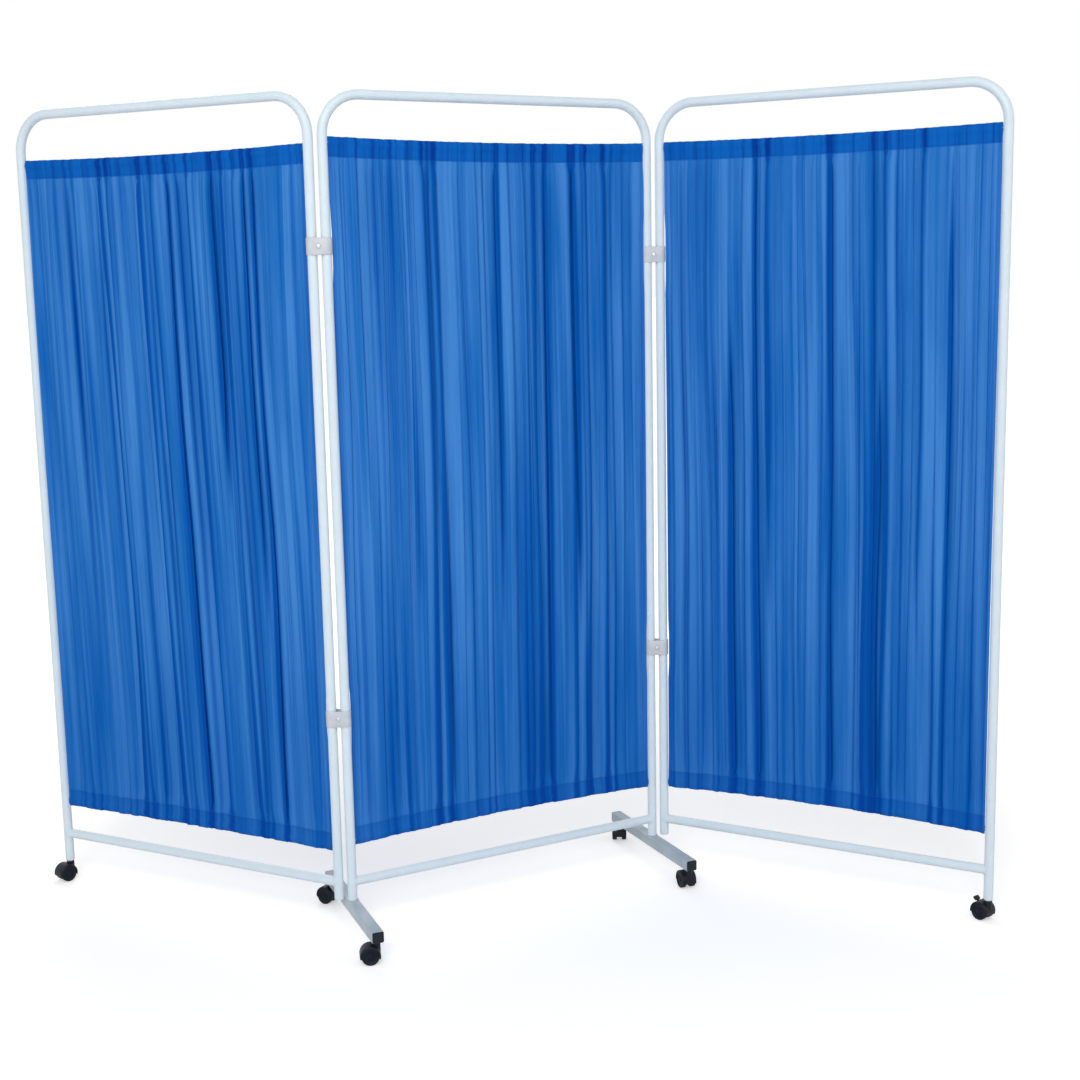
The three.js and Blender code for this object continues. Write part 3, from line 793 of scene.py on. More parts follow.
# One row of facts for each fold: place, angle, radius, run, side and strength over the height
def foldPlan(rng, own, width, share):
    s = curtainSettings
    count = own["folds"]
    gaps = rng.gamma(s["gapShape"], 1.0, count + 1) + s["evenness"]
    centre = (np.cumsum(gaps)[:-1] / gaps.sum() - 0.5) * width
    tight = rng.random(count) < own["tightShare"]
    tight[:s["flatFolds"]] = tight[-s["flatFolds"]:] = False
    plan = {key: np.where(tight, rng.uniform(*s["tight"][key], count), rng.uniform(*s["soft"][key], count))
            for key in ("angle", "radius", "run")}
    level, side = 0, []
    for _ in range(count):
        step = 1 if rng.random() < (s["balance"] - level) / (2 * s["balance"]) else -1
        side.append(step)
        level += step
    height = share[:, None]
    phase = rng.uniform(0, turn, count)
    swing = s["strengthSwing"]
    strength = 1 - swing + swing * np.sin(turn * rng.uniform(0.5, 1.3, count) * height + phase)
    sort = rng.random(count)
    start, fade = rng.uniform(0.25, 0.75, count), rng.uniform(0.3, 0.55, count)
    fromTop = smoothStep((height - start + fade) / fade)
    fromBottom = smoothStep((1 - height - start + fade) / fade)
    strength = strength * np.where(sort < s["fadingDown"], fromTop,
                                   np.where(sort < s["fading"], fromBottom, 1.0))
    drift = np.zeros((len(share), count))
    for wave in s["driftWaves"]:
        phase = np.cumsum(rng.normal(0, 0.35, count)) + rng.uniform(0, turn)
        swing = rng.normal(0, 1, count) * s["driftSpread"] + s["driftMean"]
        drift += swing / wave * np.sin(turn * wave * height + phase)
    return {**plan, "centre": centre, "side": np.array(side), "strength": strength, "drift": drift,
            "span": np.where(tight, plan["run"], 2 * plan["radius"] + 0.3 * plan["run"])}


turnSteps, flatSteps = 3, 7     # lengths of mesh in a fold's turn and in the flat between two folds
leastFlat, leastOverlap = 1.2 * mm, 0.4 * mm
leastStep, turnExtra = 0.05 * mm, 0.02 * mm


# Cross-sections of the cloth: u along the panel, v across it, one row of points for each height
def sections(plan, centres, width, overlapGain, cap, flatWave):
    rows, count = plan["strength"].shape
    theta = np.minimum(plan["angle"] * plan["strength"], cap[:, None])
    run = plan["run"] * (0.25 + 0.75 * plan["strength"]) * overlapGain[:, None]
    radius = plan["radius"]
    back = -(2 * radius * np.sin(theta) + run * np.cos(theta))
    side = plan["side"]
    half = width / 2
    edges = np.concatenate([np.full((rows, 1), -half), centres, np.full((rows, 1), half)], axis=1)
    backs = np.concatenate([np.zeros((rows, 1)), back, np.zeros((rows, 1))], axis=1)
    flats = np.maximum(np.diff(edges, axis=1) + (backs[:, :-1] + backs[:, 1:]) / 2, leastFlat)
    overlaps = np.concatenate([np.zeros((rows, 1)), np.maximum(back, leastOverlap), np.zeros((rows, 1))],
                              axis=1)
    lengths, angles = [], []
    edge = curtainSettings["blur"]
    for i in range(count + 1):
        flat = flats[:, i]
        before, after = overlaps[:, i], overlaps[:, i + 1]
        marks = np.stack([0 * flat, before - edge, before + edge, flat / 3, 2 * flat / 3,
                          flat - after - edge, flat - after + edge, flat])
        marks = np.sort(np.clip(marks, 0, flat), axis=0)
        steps = np.maximum(np.diff(marks, axis=0), leastStep)
        middle = (marks[:-1] + marks[1:]) / 2 / flat
        for k in range(flatSteps):
            lengths.append(steps[k])
            angles.append(flatWave[:, i] * np.cos(math.pi * middle[k]))
        if i < count:
            bend = side[i] * theta[:, i]
            arc = radius[i] * theta[:, i] / turnSteps + turnExtra
            for k in range(turnSteps):
                lengths.append(arc)
                angles.append(bend * (k + 0.5) / turnSteps)
            lengths.append(run[:, i])
            angles.append(bend)
            for k in range(turnSteps):
                lengths.append(arc)
                angles.append(bend * (1 - (k + 0.5) / turnSteps))
    lengths, angles = np.stack(lengths, axis=1), np.stack(angles, axis=1)
    zero = np.zeros((rows, 1))
    u = np.concatenate([zero, np.cumsum(lengths * np.cos(angles), axis=1)], axis=1)
    v = np.concatenate([zero, np.cumsum(lengths * np.sin(angles), axis=1)], axis=1)
    travelled = np.concatenate([zero, np.cumsum(lengths, axis=1)], axis=1)
    u = u / u[:, -1:] * width - half
    return u, v, travelled


# Length of cloth for each length of the panel, blurred a little: 1 where one flat sheet hangs
def clothDensity(u, v):
    step, reach, kernelSteps = 0.4 * mm, 8 * mm, 18
    rowWeights = (0.11, 0.22, 0.34, 0.22, 0.11)
    edges = np.arange(u.min() - reach, u.max() + reach, step)
    middles = (edges[1:] + edges[:-1]) / 2
    offsets = np.arange(-kernelSteps, kernelSteps + 1) * step
    kernel = np.exp(-0.5 * (offsets / curtainSettings["blur"]) ** 2)
    kernel /= kernel.sum()
    density = np.zeros_like(u)
    for r in range(len(u)):
        low, high = np.minimum(u[r, :-1], u[r, 1:]), np.maximum(u[r, :-1], u[r, 1:])
        length = np.hypot(np.diff(u[r]), np.diff(v[r]))
        passed = np.clip((edges[:, None] - low) / (high - low + 0.02 * mm), 0, 1) @ length
        density[r] = np.interp(u[r], middles, np.convolve(np.diff(passed) / step, kernel, "same"))
    padded = np.pad(density, ((2, 2), (0, 0)), "edge")
    blended = sum(weight * padded[i:i + len(u)] for i, weight in enumerate(rowWeights))
    return np.maximum(blended, 1)


# Takes the slow swing out of the folds, so that the cloth hangs about the panel's plane
def levelled(u, v):
    result = np.zeros_like(v)
    for r in range(len(u)):
        weight = np.exp(-((u[r][:, None] - u[r][None]) / curtainSettings["levelReach"]) ** 2)
        result[r] = v[r] - (weight @ v[r]) / weight.sum(axis=1)
    return result


def curtainShape(panel):
    s = curtainSettings
    own = s[panel]
    rng = np.random.default_rng(own["seed"])
    rows = curtainRows()
    share = np.array([row["body"] for row in rows])
    sleeve = np.array([row["sleeve"] for row in rows])
    isHem = np.array([row["end"] is not None for row in rows])
    width = postPitch - 2 * s["clothEdge"]
    plan = foldPlan(rng, own, width, share)
    across = plan["centre"] / (width / 2)
    lean = own["lean"] * (1 - across ** 2)[None] * (0.5 - share[:, None]) * 2
    centres = plan["centre"] + plan["drift"] + lean
    least = 0.55 * (plan["span"][:-1] + plan["span"][1:]) * np.where(
        plan["side"][:-1] == plan["side"][1:], 0.55, 1.0) + s["foldGap"]
    for i in range(1, own["folds"]):
        centres[:, i] = np.maximum(centres[:, i], centres[:, i - 1] + least[i - 1])
    reach = width / 2 - s["outerFold"]
    span = centres[:, -1:] - centres[:, :1]
    centres = -reach + (centres - centres[:, :1]) / span * (2 * reach)
    seamNear = np.minimum(share, 1 - share) * s["bodyHeight"]
    closeness = np.where(isHem, 0.0, smoothStep(seamNear / s["hemFade"]))
    cap = s["hemAngle"] + (math.pi - s["hemAngle"]) * closeness
    overlapGain = s["hemOverlap"] + (1 - s["hemOverlap"]) * closeness
    wave = rng.normal(0, s["softFlat"], own["folds"] + 1)
    slow = rng.uniform(0, turn, own["folds"] + 1)
    flatWave = wave * (0.6 + 0.4 * np.sin(5 * share[:, None] + slow)) * overlapGain[:, None]
    # The colour's painted shade follows the folds as planned, before they are pressed into the hems and
    # the frame, with more painted shade added low down than the folds have
    full = np.ones(len(rows))
    wide, deep, _ = sections(plan, centres, width, full, full * math.pi, flatWave)
    added = s["lowPaintedShade"] * smoothStep(1 - share / s["lowShare"])
    added += s["bottomHemShade"] * (isHem & (share < 0.5))
    layers = clothDensity(wide, deep) + added[:, None]
    u, v, travelled = sections(plan, centres, width, overlapGain, cap, flatWave)
    v = levelled(u, v)
    ripples = 0
    for _ in range(s["ripples"]):
        leaning = share[:, None] * rng.uniform(-9, 9) + rng.uniform(0, turn)
        ripples = ripples + rng.normal(0, s["rippleHeight"]) * np.sin(u * rng.uniform(60, 160) + leaning)
    v = v + ripples * overlapGain[:, None]
    hemDepth, deepening = s["hemDepth"], smoothStep(seamNear / s["depthFade"])
    depth = np.where(isHem, hemDepth * (1 - sleeve) + s["rodDepth"] * sleeve,
                     hemDepth + (s["bodyDepth"] - hemDepth) * deepening)
    v = depth[:, None] * np.tanh(v / depth[:, None])
    return {"rows": rows, "u": u, "v": v, "share": share, "sleeve": sleeve, "isHem": isHem, "width": width,
            "layers": layers, "travelled": travelled[len(rows) // 2], "rng": rng}


def curtainHeights(panel, shape):
    top, bottom = rodLine(panel, "top"), rodLine(panel, "bottom")
    offset = np.array([row["offset"] for row in shape["rows"]])[:, None]
    share, u = shape["share"][:, None], shape["u"]
    ends = np.array([-1 if row["end"] is None else row["end"] for row in shape["rows"]])[:, None]
    low, high = bottom(u), top(u)
    between = (low + offset) * (1 - share) + (high - offset) * share
    z = np.where(ends == 0, low + offset, np.where(ends == 1, high + offset, between))
    fine, bent, coarse = curtainSettings["scallopWaves"]
    scallop = np.sin(u * fine + 2 * np.sin(u * bent)) + 0.8 * np.sin(u * coarse)
    edge = np.zeros(len(shape["rows"]))
    edge[0], edge[1], edge[-2], edge[-1] = 1, 0.5, 0.5, 1
    return z + curtainSettings["scallop"] * scallop * edge[:, None]


# Draws the cloth's edge back where a hinge clamp goes round the post beside it
def clearOfClamps(panel, shape, z):
    s = curtainSettings
    half = shape["width"] / 2
    for side, way in s[panel]["hinges"]:
        for where in ("upper", "lower"):
            low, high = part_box(f"{side}_{where}_clamp")
            away = np.abs(z - (low.z + high.z) / 2) - (high.z - low.z) / 2
            beside = 1 - smoothStep((away - s["clampPullBeyond"]) / s["clampPullFade"])
            inward = (half - way * shape["u"]) / s["clampPullWidth"]
            shape["u"] = shape["u"] - way * s["clampPull"] * beside * (1 - smoothStep(inward))


def curtainMesh(panel, shape, z):
    s = curtainSettings
    u, v = shape["u"], shape["v"]
    rows, columns = u.shape
    du, dv = np.gradient(u, axis=1), np.gradient(v, axis=1)
    size = np.hypot(du, dv) + 1e-9
    across, outward = -dv / size, du / size
    thick = s["halfThickness"]
    swell = (s["sleeve"] * shape["sleeve"])[:, None]
    sides = []
    for way in (1, -1):
        sides.append(np.stack([u + way * across * thick, v + way * (outward * thick + swell), z], axis=-1))
    points = np.concatenate([side.reshape(-1, 3) for side in sides])
    index = np.arange(rows * columns).reshape(rows, columns)
    far = index + rows * columns

    def strip(*corners):
        return np.stack([corner.ravel() for corner in corners], axis=1)

    quads = [strip(far[:-1, :-1], far[:-1, 1:], far[1:, 1:], far[1:, :-1]),
             strip(index[:-1, :-1], index[1:, :-1], index[1:, 1:], index[:-1, 1:]),
             strip(index[0, :-1], index[0, 1:], far[0, 1:], far[0, :-1]),
             strip(index[-1, 1:], index[-1, :-1], far[-1, :-1], far[-1, 1:]),
             strip(index[1:, 0], index[:-1, 0], far[:-1, 0], far[1:, 0]),
             strip(index[:-1, -1], index[1:, -1], far[1:, -1], far[:-1, -1])]
    faces = np.concatenate(quads)
    mesh = bpy.data.meshes.new(f"{panel}_cloth")
    mesh.vertices.add(len(points))
    mesh.vertices.foreach_set("co", points.astype(np.float32).ravel())
    mesh.loops.add(faces.size)
    mesh.loops.foreach_set("vertex_index", faces.astype(np.int32).ravel())
    mesh.polygons.add(len(faces))
    mesh.polygons.foreach_set("loop_start", np.arange(0, faces.size, 4, dtype=np.int32))
    mesh.update(calc_edges=True)
    uv = mesh.uv_layers.new(name="cloth")
    flat = np.stack([np.broadcast_to(shape["travelled"], (rows, columns)), z], axis=-1).reshape(-1, 2)
    flat = np.concatenate([flat, flat + [3.0, 0.0]])
    uv.data.foreach_set("uv", flat[faces.ravel()].astype(np.float32).ravel())
    # Where the hems' painted shade goes: all of it in the upper hem, part of it in the lower hem and the side
    # hems
    fromEdge = np.minimum(shape["travelled"], shape["travelled"][-1] - shape["travelled"])
    ends = np.array([row["end"] for row in shape["rows"]], dtype=float)
    hem = np.where(ends == 1, 1.0, np.where(ends == 0, s["bottomHemDepth"], 0.0))
    band = np.maximum(hem[:, None], (fromEdge < s["sideHem"])[None] * s["sideHemDepth"])
    # Painted shadow of the puckers along each hem's seam
    offset = np.array([abs(row["offset"]) for row in shape["rows"]])
    seam = np.exp(-((offset - s["hemHeight"] + s["headHeight"]) / s["seamSpread"]) ** 2) * shape["isHem"]
    seam = np.broadcast_to(seam[:, None], (rows, columns))
    # Random stripes between two blues, apart from the folds
    stripe = np.cumsum(shape["rng"].normal(0, s["stripeStep"], columns))
    bend = 1.3 * np.sin(4 * shape["share"][:, None] + 0.02 * np.arange(columns))
    shade = 0.5 + 0.5 * np.sin(stripe + bend)
    for name, values in (("layers", shape["layers"]), ("hem", band), ("seam", seam), ("shade", shade)):
        data = mesh.attributes.new(name, "FLOAT", "POINT").data
        data.foreach_set("value", np.tile(values.astype(np.float32).ravel(), 2))
    return mesh, sides


stitchSettings = {"pitch": 3.2 * mm, "length": 2.4 * mm, "threadRadius": 0.24 * mm, "fromRod": 27 * mm}


def hemStitches(panel, sides, shape):
    s = stitchSettings
    seamRows = [i for i, row in enumerate(shape["rows"])
                if row["end"] is not None and abs(row["offset"]) > s["fromRod"]]
    pieces = []
    for r in seamRows:
        for side in sides:
            line = [tuple(p) for p in side[r].tolist()]
            pieces.append(stitchRow.build(f"{panel}_seam", polyline("seam", line), Pitch=s["pitch"],
                                          StitchLength=s["length"], ThreadRadius=s["threadRadius"],
                                          Material=finishes["hem_thread"]))
    return joined(f"{panel}_stitches", *pieces)


def makeCurtain(panel):
    shape = curtainShape(panel)
    z = curtainHeights(panel, shape)
    clearOfClamps(panel, shape, z)
    mesh, sides = curtainMesh(panel, shape, z)
    cloth = addPiece(f"{panel}_cloth", mesh, "curtain_cloth", panelBody[panel], [f"{panel}_curtain"],
                     panelPlace[panel], 75)
    stitches = addPiece(f"{panel}_hem_stitches", hemStitches(panel, sides, shape), "hem_thread",
                        panelBody[panel], (), panelPlace[panel])
    # The cut width is that of the folds as planned. Pressed between the posts, the mesh keeps 4 to 5%
    # less of it at half height and only about 0.75 m in the hems
    length = float(z[-1].mean() - z[0].mean())
    print(panel, "curtain: cut", round(float(shape["travelled"][-1]), 3), "x", round(length, 3),
          "m, triangles", 2 * len(mesh.polygons))


for panelName in panelEnds:
    makeCurtain(panelName)


# Hinge clamps and rivets

clampSettings = {
    "pitch": 28 * mm,
    "outer": 11.95 * mm,
    "inner": 10.35 * mm,
    "edge": 1.1 * mm,
    "boss": 6.4 * mm,
    "rivetHead": 4.5 * mm,
    "rivetHeight": 1.9 * mm,
    "rivetEdge": 0.7 * mm,      # upright edge of the rivet's head
    "shankRadius": 2.2 * mm,
}


def stadium(radius, half, steps=20):
    return arcPoints((half, 0), radius, -90, 90, steps) + arcPoints((-half, 0), radius, 90, 270, steps)


def bandMesh(name, low, high):
    s = clampSettings
    half = s["pitch"] / 2
    r = s["edge"]
    wall = s["outer"] - s["inner"]
    section = [(s["outer"], low + r), (s["outer"], high - r), (s["outer"] - r * 0.3, high - r * 0.3),
               (s["outer"] - r, high), (s["inner"] + 0.3 * wall, high), (s["inner"], high - 0.4 * mm),
               (s["inner"], low + 0.4 * mm), (s["inner"] + 0.3 * wall, low), (s["outer"] - r, low),
               (s["outer"] - r * 0.3, low + r * 0.3)]
    rings = [[(x, y, z) for x, y in stadium(radius, half)] for radius, z in section]
    count = len(rings[0])
    points = [p for ring in rings for p in ring]
    faces = []
    for k in range(len(rings)):
        n = (k + 1) % len(rings)
        for i in range(count):
            j = (i + 1) % count
            faces.append((k * count + i, k * count + j, n * count + j, n * count + i))
    return recalculated(meshFrom(name, points, faces))


# A turned form on the clamp's front face, and once more on its rear face
def onBothFaces(name, mesh):
    front = rotated(mesh, 90)
    return joined(name, front, rotated(front.copy(), 180, "Z"))


def rivetMesh(name):
    s = clampSettings
    face = s["outer"]
    head, edge, shank = s["rivetHead"], s["rivetEdge"], s["shankRadius"]
    dome = [(head * math.cos(a), face + edge + (s["rivetHeight"] - edge) * math.sin(a))
            for a in (math.radians(90 * i / 8) for i in range(9))]
    dome[-1] = (0.0, dome[-1][1])
    profile = [(0.0, face - 1.2 * mm), (head, face - 1.2 * mm)] + dome
    pin = turnedMesh(name, [(0.0, -face), (shank, -face), (shank, face), (0.0, face)], 20)
    return joined(name, onBothFaces(name, turnedMesh(name, profile, 40)), rotated(pin, 90))


# Raised ring of the clamp's wall round the rivet, on both faces
def bossMesh(name):
    s = clampSettings
    face, boss = s["outer"], s["boss"]
    profile = [(s["rivetHead"] * 0.6, face - 0.8 * mm), (boss, face - 0.8 * mm), (boss, face + 0.25 * mm),
               (boss - 0.35 * mm, face + 0.6 * mm), (s["rivetHead"] + 0.5 * mm, face + 0.6 * mm),
               (s["rivetHead"] + 0.25 * mm, face + 0.35 * mm), (s["rivetHead"] * 0.6, face + 0.35 * mm)]
    return onBothFaces(name, turnedMesh(name, profile + profile[:1], 40))


def makeClamp(side, where):
    node = f"{side}_{where}_clamp"
    low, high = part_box(node)
    outerPost = jointPlace(f"{side}_panel_fold")
    innerPost = jointPlace(f"{side}_hinge_fold")
    place = standingAt((outerPost + innerPost) / 2, innerPost - outerPost)
    middle = (low.z + high.z) / 2
    place.translation = place.translation + Vector((0, 0, middle))
    half = (high.z - low.z) / 2
    band = joined(f"{node}_band", bandMesh(f"{node}_band", -half, half), bossMesh(f"{node}_boss"))
    addPiece(f"{node}_band", band, "hinge_clamp", f"{side}_hinge", [node], place, 35)
    addPiece(f"{node}_rivet_pin", rivetMesh(f"{node}_rivet"), "rivet", f"{side}_hinge", [f"{node}_rivet"],
             place)


for sideName in ("left", "right"):
    makeClamp(sideName, "upper")
    makeClamp(sideName, "lower")
print("hinge clamps made")


# Feet and their caps

footSettings = {
    "width": 25 * mm,
    "corner": 3.2 * mm,
    "endEdge": 0.5 * mm,
    "overhang": 14 * mm,        # bar beyond a castor's swivel
    "capGap": 0.3 * mm,
    "capDepth": 2.5 * mm,
    "capInset": 1.2 * mm,       # how much narrower the cap is than the bar
    "capEdge": 0.9 * mm,
    "plugShare": 0.82,
    "plugDepth": 4 * mm,
    "plugOverrun": 0.5 * mm,
    "beadRise": 0.2 * mm,
    "beadRing": 10.6 * mm,
    "beadRadius": 1.6 * mm,
    "beadDrops": 22,
    "beadPoints": 140,
}


def footPlace(side):
    front, rear = jointPlace(f"{side}_foot_front_swivel"), jointPlace(f"{side}_foot_rear_swivel")
    return standingAt((front + rear) / 2, (rear - front).cross(Vector((0, 0, 1)))), (rear - front).length


def makeFoot(side):
    s = footSettings
    place, castorSpan = footPlace(side)
    low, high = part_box(f"{side}_foot")
    middle = (low.z + high.z) / 2
    length = castorSpan + 2 * s["overhang"]
    outline = [(x, z + middle) for x, z in roundedRectangle(s["width"], high.z - low.z, s["corner"], 8)]
    bar = prism(f"{side}_bar", outline, -length / 2, length / 2)
    bar = bevelled(f"{side}_bar", bar, s["endEdge"], 2, 60)
    ring = ringPoints(s["beadRing"], high.z + s["beadRise"], 48)
    bead = weldBead.build(f"{side}_foot_bead", polyline("bead", ring, closed=True), Radius=s["beadRadius"],
                          Drops=s["beadDrops"], Points=s["beadPoints"], Material=finishes["grey_bar"])
    mesh = joined(f"{side}_foot_bar", bar, bead)
    addPiece(f"{side}_foot_bar", mesh, "grey_bar", "center_panel", [f"{side}_foot"], place)
    for way, where in ((-1, "front"), (1, "rear")):
        node = f"{side}_foot_{where}_cap"
        outline = roundedRectangle(s["width"] - s["capInset"], high.z - low.z - s["capInset"], s["corner"], 8)
        face = [(x, z + middle) for x, z in outline]
        start = length / 2 + s["capGap"]
        ends = sorted((way * start, way * (start + s["capDepth"])))
        cap = bevelled(node, prism(node, face, *ends), s["capEdge"], 4, 50)
        plugFace = [(x * s["plugShare"], (z - middle) * s["plugShare"] + middle) for x, z in face]
        plugEnds = sorted((way * (length / 2 - s["plugDepth"]), way * (start + s["plugOverrun"])))
        plug = prism(node, plugFace, *plugEnds)
        addPiece(f"{node}_plug", joined(node, cap, plug), "end_cap", "center_panel", [node], place, 50)


for sideName in ("left", "right"):
    makeFoot(sideName)
print("feet made")


# Castors, drawn with the swivel on Z and the axle behind it towards +X

castorSettings = {
    "wheelRadius": 18 * mm,
    "wheelWidth": 10.6 * mm,
    "webWidth": 11 * mm,
    "sideGap": 0.6 * mm,
    "hoodInner": 19.5 * mm,
    "hoodOuter": 21.3 * mm,
    "hoodStart": -12,
    "hoodEnd": 196,
    "hoodRim": 2.8 * mm,
    "neckRadius": 8.4 * mm,
    "neckTop": 43.8 * mm,
    "pinRadius": 3 * mm,
    "collarGap": 0.3 * mm,
    "collarHeight": 1.6 * mm,
    "collarRadius": 8.4 * mm,
    "plugRadius": 7.5 * mm,
    "barrelRadius": 5.45 * mm,
    "ribRing": 8.4 * mm,
    "ribs": 8.001,              # a little over eight, so that the last point doesn't fall on the first
    "ribLength": 6.4 * mm,
    "ribWidth": 1.4 * mm,
    "ribSink": 1.9 * mm,        # middle of a rib below the wheel's face
    "steps": 56,
}


def castorPlace(corner):
    swivel, axle = jointPlace(f"{corner}_swivel"), jointPlace(f"{corner}_wheel_a_roll")
    return standingAt(swivel, axle - swivel), (axle - swivel).length


# From turned about Z to turned about the axle, which lies along Y
def onAxle(mesh, trail):
    rotated(mesh, 90).transform(Matrix.Translation((trail, 0, castorSettings["wheelRadius"])))
    return mesh


def wheelMesh(name, way, trail):
    s = castorSettings
    inner = s["webWidth"] / 2 + s["sideGap"]
    outer = inner + s["wheelWidth"]
    r = s["wheelRadius"]
    profile = [(0.0, outer - 0.2 * mm), (2.4 * mm, outer - 0.3 * mm), (4.0 * mm, outer - 0.8 * mm),
               (4.4 * mm, outer - 1.8 * mm), (5.6 * mm, outer - 2.2 * mm), (11.3 * mm, outer - 1.8 * mm),
               (12.8 * mm, outer - 1.1 * mm), (13.3 * mm, outer - 0.4 * mm), (14.0 * mm, outer - 0.1 * mm),
               (r - 2.6 * mm, outer), (r - 1.5 * mm, outer - 0.25 * mm), (r - 0.6 * mm, outer - 0.8 * mm),
               (r - 0.12 * mm, outer - 1.7 * mm), (r, outer - 2.8 * mm), (r, inner + 1.4 * mm),
               (r - 0.3 * mm, inner + 0.4 * mm), (r - 1.0 * mm, inner), (4.2 * mm, inner),
               (3.0 * mm, inner + 0.6 * mm), (0.0, inner + 0.6 * mm)]
    mesh = turnedMesh(name, profile, s["steps"])
    return onAxle(rotated(mesh, 180) if way > 0 else mesh, trail)


# Small ribs that stiffen the dished face of a wheel
def wheelRibs(name, way, trail):
    s = castorSettings
    outer = s["webWidth"] / 2 + s["sideGap"] + s["wheelWidth"]
    ring = ringPoints(s["ribRing"], outer - s["ribSink"], 72)
    mesh = ribRow.build(name, polyline("ribs", ring, closed=True),
                        Pitch=2 * math.pi * s["ribRing"] / s["ribs"], RibLength=s["ribLength"],
                        RibWidth=s["ribWidth"], RibHeight=s["ribWidth"], Material=finishes["castor_wheel"])
    return onAxle(rotated(mesh, 180) if way > 0 else mesh, trail)


def hoodMesh(name, trail):
    s = castorSettings
    half = s["webWidth"] / 2 + s["sideGap"] + s["wheelWidth"]
    inner, outer = s["hoodInner"], s["hoodOuter"]
    rim = s["hoodRim"]
    crown = [(outer - rim * (1 - math.sin(math.radians(a))), half - rim * (1 - math.cos(math.radians(a))))
             for a in (0, 22, 45, 68, 90)]
    section = crown + [(r, -y) for r, y in reversed(crown)]
    section += [(outer - rim - 0.7 * mm, -half + 0.15 * mm), (inner - 1.0 * mm, -half + 1.4 * mm)]
    section += [(inner, -half + 2.6 * mm), (inner, half - 2.6 * mm)]
    section += [(inner - 1.0 * mm, half - 1.4 * mm), (outer - rim - 0.7 * mm, half - 0.15 * mm)]
    shell = turnedMesh(name, section, s["steps"], s["hoodStart"], s["hoodEnd"] - s["hoodStart"])
    return onAxle(shell, trail)


# Round neck whose lower edge follows the hood that it stands on
def neckMesh(name, trail):
    s = castorSettings
    r, top, radius = s["wheelRadius"], s["neckTop"], s["neckRadius"]
    wall = (s["hoodInner"] + s["hoodOuter"]) / 2
    steps = 48
    levels = [(5.4 * mm, None), (radius, None), (radius, top - 1.2 * mm), (radius - 0.3 * mm, top - 0.4 * mm),
              (radius - 1.0 * mm, top), (s["pinRadius"] + 0.4 * mm, top),
              (s["pinRadius"] + 0.2 * mm, top - 0.4 * mm), (0.0, top - 0.4 * mm)]
    points = []
    for i in range(steps):
        a = 2 * math.pi * i / steps
        forward = radius * math.cos(a) - trail
        foot = r + math.sqrt(max(wall ** 2 - forward ** 2, (6 * mm) ** 2))
        points += [(ring * math.cos(a), ring * math.sin(a), foot if z is None else z) for ring, z in levels]
    count = len(levels)
    faces = []
    for i in range(steps):
        here, there = i * count, (i + 1) % steps * count
        faces += [(here + k, there + k, there + k + 1, here + k + 1) for k in range(count - 1)]
    faces.append(tuple(i * count for i in reversed(range(steps))))
    return recalculated(meshFrom(name, points, faces))


def castorBodyMesh(name, trail):
    s = castorSettings
    r = s["wheelRadius"]
    hood = hoodMesh(name, trail)
    arc = arcPoints((0, 0), s["hoodInner"] + 0.6 * mm, s["hoodStart"], s["hoodEnd"], 48)
    web = [(x + trail, z + r) for x, z in arc]
    plate = bevelled(name, prism(name, web, -s["webWidth"] / 2, s["webWidth"] / 2), 0.8 * mm, 2, 30)
    barrelTop = s["neckTop"] - 3 * mm
    b = s["barrelRadius"]
    barrel = turnedMesh(name, [(0.0, r), (b, r), (b, barrelTop), (0.0, barrelTop)], 32)
    return joined(name, hood, plate, barrel, neckMesh(name, trail))


def stemMesh(name):
    s = castorSettings
    low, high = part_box(name)
    seat = s["neckTop"] + s["collarGap"]
    top = seat + s["collarHeight"]
    pin, collar, plug = s["pinRadius"], s["collarRadius"], s["plugRadius"]
    profile = [(0.0, low.z), (pin - 0.5 * mm, low.z), (pin, low.z + 0.5 * mm), (pin, seat),
               (collar - 0.3 * mm, seat), (collar, seat + 0.3 * mm), (collar, top - 0.3 * mm),
               (collar - 0.3 * mm, top), (plug, top), (plug, high.z - 1 * mm), (plug - 1 * mm, high.z),
               (0.0, high.z)]
    return turnedMesh(name, profile, 40)


pedalSettings = {
    "angle": 58,
    "lean": 16,
    "pivotRadius": 14 * mm,
    "ribWidth": 4 * mm,
    "ribDepth": 5 * mm,
    "width": 17 * mm,
    "length": 10 * mm,
    "corner": 3 * mm,
    "thickness": 2.6 * mm,
    "gap": 0.8 * mm,
    "pinHalf": 4 * mm,
    "pinRadius": 1.5 * mm,
    "gripPitch": 2.2 * mm,
    "gripWidth": 0.9 * mm,
    "gripInset": 4 * mm,        # how much shorter a grip is than the pedal is wide
}


